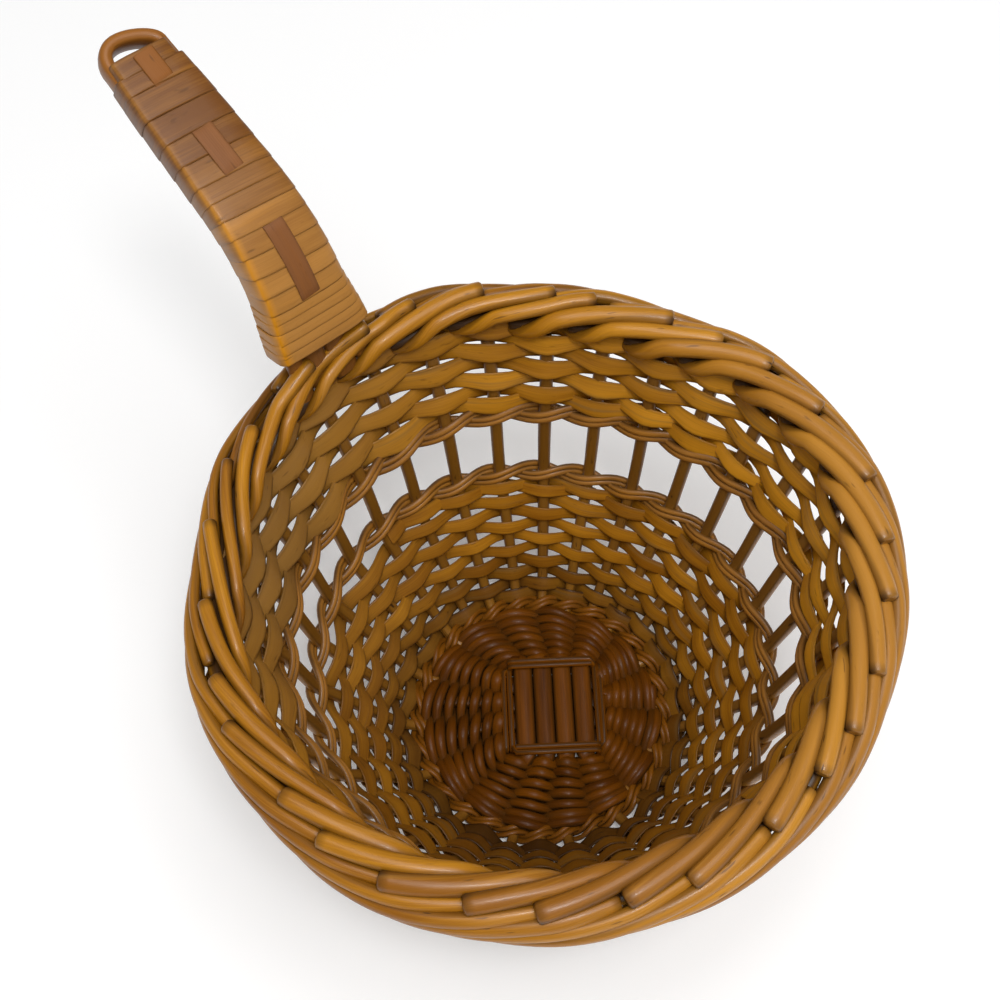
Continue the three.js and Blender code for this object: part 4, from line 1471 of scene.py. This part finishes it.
    def hairpin(self) -> Strand:
        """Makes the bent rod: a leg on each side and the hanging loop between them.

        Returns:
            The rod, from one leg's end to the other's.
        """
        legs = 18
        turns = 20
        found = []
        for way in (1, -1):
            lengths = [self.loop_start * step / legs for step in range(legs)]
            leg = []
            for length in lengths:
                point, _, normal = self.at(length)
                aside = self.side * (way * self.spread(length))
                # Painted shade on the legs below the lapping, so that they sit back.
                shade = 0.15 if length < self.lap_start else 0.0
                leg.append(Station(point + aside, normal, self.leg(length), self.depth(length), shade))
            found.append(leg)
        loop = []
        for step in range(turns + 1):
            turn = step * math.pi / turns
            aside = (self.loop_spread + 0.9 * MM * math.sin(turn)) * math.cos(turn)
            reach = self.loop_reach * math.sin(turn) - self.loop_slant * aside * math.sin(turn)
            point, _, normal = self.at(self.loop_start + reach)
            loop.append(Station(point + self.side * aside, normal, self.loop_width, 0.95 * self.leg_depth))
        return Strand(found[0] + loop + found[1][::-1], Section.STICK, tone=0.2)

    def filler(self, way: int) -> Strand:
        """Makes one of the two rods between the legs.

        Args:
            way: 1 for the rod on the left, and -1 for the one on the right.

        Returns:
            The rod.
        """
        count = 20
        stations = []
        for step in range(count + 1):
            length = lerp(0.5 * MM, self.loop_start - 0.5 * MM, step / count)
            point, _, normal = self.at(length)
            room = self.spread(length) - self.leg(length) / 2
            aside = self.side * (way * room / 2)
            # The filler rods carry painted shade for the dark gap between the legs.
            stations.append(Station(point + aside, normal, room - 0.4 * MM, self.depth(length), 0.3))
        return Strand(stations, Section.STICK)

    def outline(self, length: float, turn: float, lift: float) -> tuple[Vector, Vector]:
        """Finds a point of the lapping.

        Args:
            length: along the handle.
            turn: about the handle, from straight down.
            lift: out from the lapping's middle.

        Returns:
            The point, and the direction out of the handle there.
        """
        half = self.half_width(length) - self.lap_thickness / 2
        across = math.copysign(abs(math.sin(turn)) ** self.lap_square, math.sin(turn))
        upward = -math.copysign(abs(math.cos(turn)) ** self.lap_square, math.cos(turn))
        high = (self.top if upward > 0 else self.bottom) - self.lap_thickness / 2
        point, _, normal = self.at(length - self.lap_slant * across * half)
        power = 2 / self.lap_square - 1
        out = (self.side * (math.copysign(abs(across) ** power, across) / half)
               + normal * (math.copysign(abs(upward) ** power, upward) / high)).normalized()
        crown = 0.5 * MM * max(upward, 0.0) * (1 - across * across)
        middle = point + self.side * (across * half) + normal * (upward * high + crown)
        return middle + out * lift, out

    def laps(self) -> list[tuple[float, float, bool]]:
        """Lists the laps.

        Returns:
            Each lap's middle along the handle, its width, and whether the leader lies over it.
        """
        found = []
        length = self.lap_start
        for group in self.groups:
            for _ in range(group.laps):
                found.append((length + group.width / 2, group.width, group.is_under_leader))
                length += group.width
        return found

    def lapping(self) -> Strand:
        """Makes the long skein that is wound round the handle.

        Returns:
            The skein, from the border to the loop.
        """
        laps = self.laps()
        points = 34
        stations = []
        for number, (middle, width, _) in enumerate(laps):
            following = laps[number + 1][0] if number + 1 < len(laps) else middle
            slant = self.chance.uniform(-0.4, 0.5) * MM
            for step in range(points):
                share = step / points
                climbed = smoothstep(share, 1 - self.climb, 1.0)
                turn = FULL_TURN * (share + self.climb / 2)
                length = lerp(middle, following, climbed) + slant * math.sin(turn)
                ridge = math.exp(-((turn - self.ridge_turn) / self.ridge_width) ** 2)
                lift = 0.12 * MM * drift(3 * share, number + 0.1) + self.ridge_height * ridge
                point, out = self.outline(length, turn, lift)
                near, _ = self.outline(length - width / 2, turn, lift)
                far, _ = self.outline(length + width / 2, turn, lift)
                size = (far - near).length + self.lap_over + 0.25 * MM * drift(2 * share, number + 0.6)
                shade = 0.12 * max(drift(1.5 * share, number + 0.8), 0.0)
                # Along the ridge the lap is paler, and amber near the root: partly the varnish on the ridge,
                # partly a painted highlight.
                rooted = 1 - smoothstep(number, 3.0, 15.0)
                tone = lerp(-1.5, 1.8, rooted) + 0.6 * drift(1.0, number + 0.5) + 1.2 * ridge
                stations.append(Station(point, out, size, self.lap_thickness, shade, tone, 0.06,
                                        1.1 * ridge * rooted))
        return Strand(stations, Section.SKEIN, grain=40.0, end_round=0.2 * MM)

    def leader(self) -> Strand:
        """Makes the strip that runs along the handle's top, under some laps and over the others.

        Returns:
            The strip.
        """
        over = 0.5 * self.lap_thickness + 0.5 * self.leader_thickness
        edge = 1.1 * MM
        spans = []
        for middle, width, is_over in self.laps():
            spans.append((middle - width / 2 + edge, is_over))
            spans.append((middle, is_over))
            spans.append((middle + width / 2 - edge, is_over))
        stations = []
        for length, is_over in spans:
            point, out = self.outline(length, math.pi, over if is_over else -over)
            thickness = self.leader_thickness
            # Painted shade where the strip runs under the laps.
            shade = 0.0 if is_over else 0.4
            worn = 0.9 * smoothstep(length, self.loop_start - 30 * MM, self.loop_start - 14 * MM)
            stations.append(Station(point + self.side * (0.5 * MM), out, self.leader_width, thickness,
                                    shade, worn=worn))
        return Strand(stations, Section.SKEIN, grain=20.0, end_round=0.3 * MM)

    def make(self) -> None:
        """Builds the rods, the lapping and the leader."""
        Piece("handle_hairpin_rod", LOOP_CANE, [self.hairpin()], ("handle_hairpin",)).make()
        for way, hand in ((1, "left"), (-1, "right")):
            name = f"handle_filler_{hand}"
            Piece(f"{name}_rod", LOOP_CANE, [self.filler(way)], (name,)).make()
        Piece("handle_lapping_skein", LAP_CANE, [self.lapping()], ("handle_lapping",)).make()
        Piece("handle_leader_strip", LEADER_CANE, [self.leader()], ("handle_leader",)).make()


@dataclass
class Studio:
    """The floor, the light and the camera.

    Attributes:
        target: what the camera looks at.
        azimuth: of the camera about the bowl's axis.
        elevation: of the camera above the floor.
        distance: from the camera to the target.
        roll: of the camera about its view.
        lens: focal length, in millimetres, on a sensor 36 mm wide.
        floor_size: of the floor.
        fade_start: distance from the bowl's axis at which the floor starts to turn white.
        fade_end: distance at which it is as white as the background.
        sky: strength of the light from all round.
        key_power: of the large lamp above, in watts.
        fill_power: of the lamp in front, in watts.
        spot_power: of the small lamp that puts the shine on the cane, in watts.
    """

    target: Vector = field(default_factory=lambda: Vector((-55.9, 30.9, 70)) * MM)
    azimuth: float = math.radians(48.4)
    elevation: float = math.radians(61.98)
    distance: float = 585.1 * MM
    roll: float = math.radians(-1.57)
    lens: float = 55.8
    floor_size: float = 4.0
    fade_start: float = 0.45
    fade_end: float = 1.3
    sky: float = 0.27
    key_power: float = 41.0
    fill_power: float = 2.2
    spot_power: float = 4.2

    def axes(self) -> tuple[Vector, Vector, Vector]:
        """Returns the camera's right, up and back directions before its roll."""
        right = Vector((math.cos(self.azimuth), math.sin(self.azimuth), 0))
        flat = Vector((math.sin(self.azimuth), -math.cos(self.azimuth), 0))
        back = flat * math.cos(self.elevation) + UP * math.sin(self.elevation)
        return right, back.cross(right), back

    def make_camera(self) -> None:
        """Sets the camera at the photograph's angle."""
        right, up, back = self.axes()
        turned = Matrix.Rotation(self.roll, 3, back)
        data = bpy.data.cameras.new("camera")
        data.lens = self.lens
        data.sensor_width = 36
        data.clip_start = 0.01
        camera = bpy.data.objects.new("camera", data)
        place = Matrix((turned @ right, turned @ up, back)).transposed().to_4x4()
        place.translation = self.target + back * self.distance
        camera.matrix_world = place
        bpy.context.scene.collection.objects.link(camera)
        bpy.context.scene.camera = camera

    def make_lamp(self, name: str, offset: Vector, size: float, power: float) -> None:
        """Adds a square lamp that shines at the basket.

        Args:
            name: of the lamp.
            offset: from the basket's middle to the lamp.
            size: of the lamp's side.
            power: in watts.
        """
        data = bpy.data.lights.new(name, "AREA")
        data.size = size
        data.energy = power
        lamp = bpy.data.objects.new(name, data)
        middle = Vector((0, 0, 70 * MM))
        lamp.rotation_euler = (-offset).to_track_quat("-Z", "Y").to_euler()
        lamp.location = middle + offset
        bpy.context.scene.collection.objects.link(lamp)

    def make_floor(self) -> None:
        """Lays the pale floor, which keeps the basket's shadow and is white beyond it."""
        bm = bmesh.new()
        bmesh.ops.create_grid(bm, x_segments=1, y_segments=1, size=self.floor_size / 2)
        mesh = bpy.data.meshes.new("floor")
        bm.to_mesh(mesh)
        bm.free()
        floor = bpy.data.objects.new("floor", mesh)
        bpy.context.scene.collection.objects.link(floor)
        material = bpy.data.materials.new("pale floor")
        material.use_nodes = True
        tree = material.node_tree
        tree.nodes.clear()
        matt = tree.nodes.new("ShaderNodeBsdfDiffuse")
        matt.inputs["Color"].default_value = (0.94, 0.94, 0.94, 1)
        glow = tree.nodes.new("ShaderNodeEmission")
        path = tree.nodes.new("ShaderNodeLightPath")
        share = tree.nodes.new("ShaderNodeMath")
        share.operation = "MULTIPLY"
        share.inputs[1].default_value = 0.1
        both = tree.nodes.new("ShaderNodeAddShader")
        end = tree.nodes.new("ShaderNodeOutputMaterial")
        tree.links.new(path.outputs["Is Camera Ray"], share.inputs[0])
        tree.links.new(share.outputs[0], glow.inputs["Strength"])
        tree.links.new(matt.outputs[0], both.inputs[0])
        tree.links.new(glow.outputs[0], both.inputs[1])
        place = tree.nodes.new("ShaderNodeTexCoord")
        away = tree.nodes.new("ShaderNodeVectorMath")
        away.operation = "LENGTH"
        fade = tree.nodes.new("ShaderNodeMapRange")
        fade.interpolation_type = "SMOOTHSTEP"
        fade.inputs["From Min"].default_value = self.fade_start
        fade.inputs["From Max"].default_value = self.fade_end
        seen = tree.nodes.new("ShaderNodeMath")
        seen.operation = "MULTIPLY"
        white = tree.nodes.new("ShaderNodeEmission")
        white.inputs["Color"].default_value = (1, 1, 1, 1)
        mixed = tree.nodes.new("ShaderNodeMixShader")
        tree.links.new(place.outputs["Object"], away.inputs[0])
        tree.links.new(away.outputs["Value"], fade.inputs["Value"])
        tree.links.new(fade.outputs[0], seen.inputs[0])
        tree.links.new(path.outputs["Is Camera Ray"], seen.inputs[1])
        tree.links.new(seen.outputs[0], mixed.inputs["Fac"])
        tree.links.new(both.outputs[0], mixed.inputs[1])
        tree.links.new(white.outputs[0], mixed.inputs[2])
        tree.links.new(mixed.outputs[0], end.inputs["Surface"])
        mesh.materials.append(material)

    def make_sky(self) -> None:
        """Sets the light from all round, and the white that the camera sees past the floor."""
        world = bpy.data.worlds.new("studio")
        bpy.context.scene.world = world
        world.use_nodes = True
        tree = world.node_tree
        background = tree.nodes["Background"]
        background.inputs["Color"].default_value = (1, 1, 1, 1)
        path = tree.nodes.new("ShaderNodeLightPath")
        strength = tree.nodes.new("ShaderNodeMapRange")
        strength.inputs["To Min"].default_value = self.sky
        strength.inputs["To Max"].default_value = 1.0
        tree.links.new(path.outputs["Is Camera Ray"], strength.inputs["Value"])
        tree.links.new(strength.outputs[0], background.inputs["Strength"])

    def make(self) -> None:
        """Builds the camera, the floor and the light."""
        self.make_camera()
        self.make_floor()
        self.make_sky()
        right, _, back = self.axes()
        behind = -Vector((back.x, back.y, 0)).normalized()
        self.make_lamp("key", behind * -0.3 + right * 0.2 + UP * 2.4, 2.0, self.key_power)
        self.make_lamp("spot", behind * -0.4 + right * 0.13 + UP * 1.23, 0.22, self.spot_power)
        self.make_lamp("fill", behind * -1.0 + right * 0.3 + UP * 0.9, 1.2, self.fill_power)
        bpy.context.scene.view_settings.view_transform = "Standard"


def main() -> None:
    """Builds the basket and the studio."""
    logging.basicConfig(level=logging.INFO, format="%(name)s: %(message)s")
    bowl = Bowl()
    low, high, head = (bowl.reaches[corner] for corner in (3, 4, 5))
    row_half = 3.4 * MM
    edge = 4.4 * MM
    Studio().make()
    Border(bowl).make()
    # The lower wall is painted darker (tone -0.9), with painted shade on its first rows and its near side,
    # for the shade deep in the bowl.
    WallWeave(bowl, "lower_wall_weaver", edge + 0.7 * row_half, low - row_half, rows=10,
              fill=1.25, waist=0.88, lean=0.0, first_shade=0.6, tone=-0.9, worn=0.3, near_fill=0.4,
              near_shade=0.4, pale=0.0, pale_side=math.radians(138), thin=0.2, last_fill=0.0, is_upper=False,
              seed=1).make()
    WallWeave(bowl, "upper_wall_weaver", high + row_half, head + 13.5 * MM, rows=7, seed=2).make()
    Pairing(bowl, "upsett_pairing", edge, UPSETT_CANE, width=4.4 * MM, worn=0.0, seed=4).make()
    Pairing(bowl, "lower_band_pairing", low, width=4.7 * MM, edge=BandEdge.BOTTOM, seed=5).make()
    Pairing(bowl, "upper_band_pairing", high, width=5.4 * MM, edge=BandEdge.TOP, seed=6).make()
    Base().make()
    Handle(bowl).make()


if __name__ == "__main__":
    main()
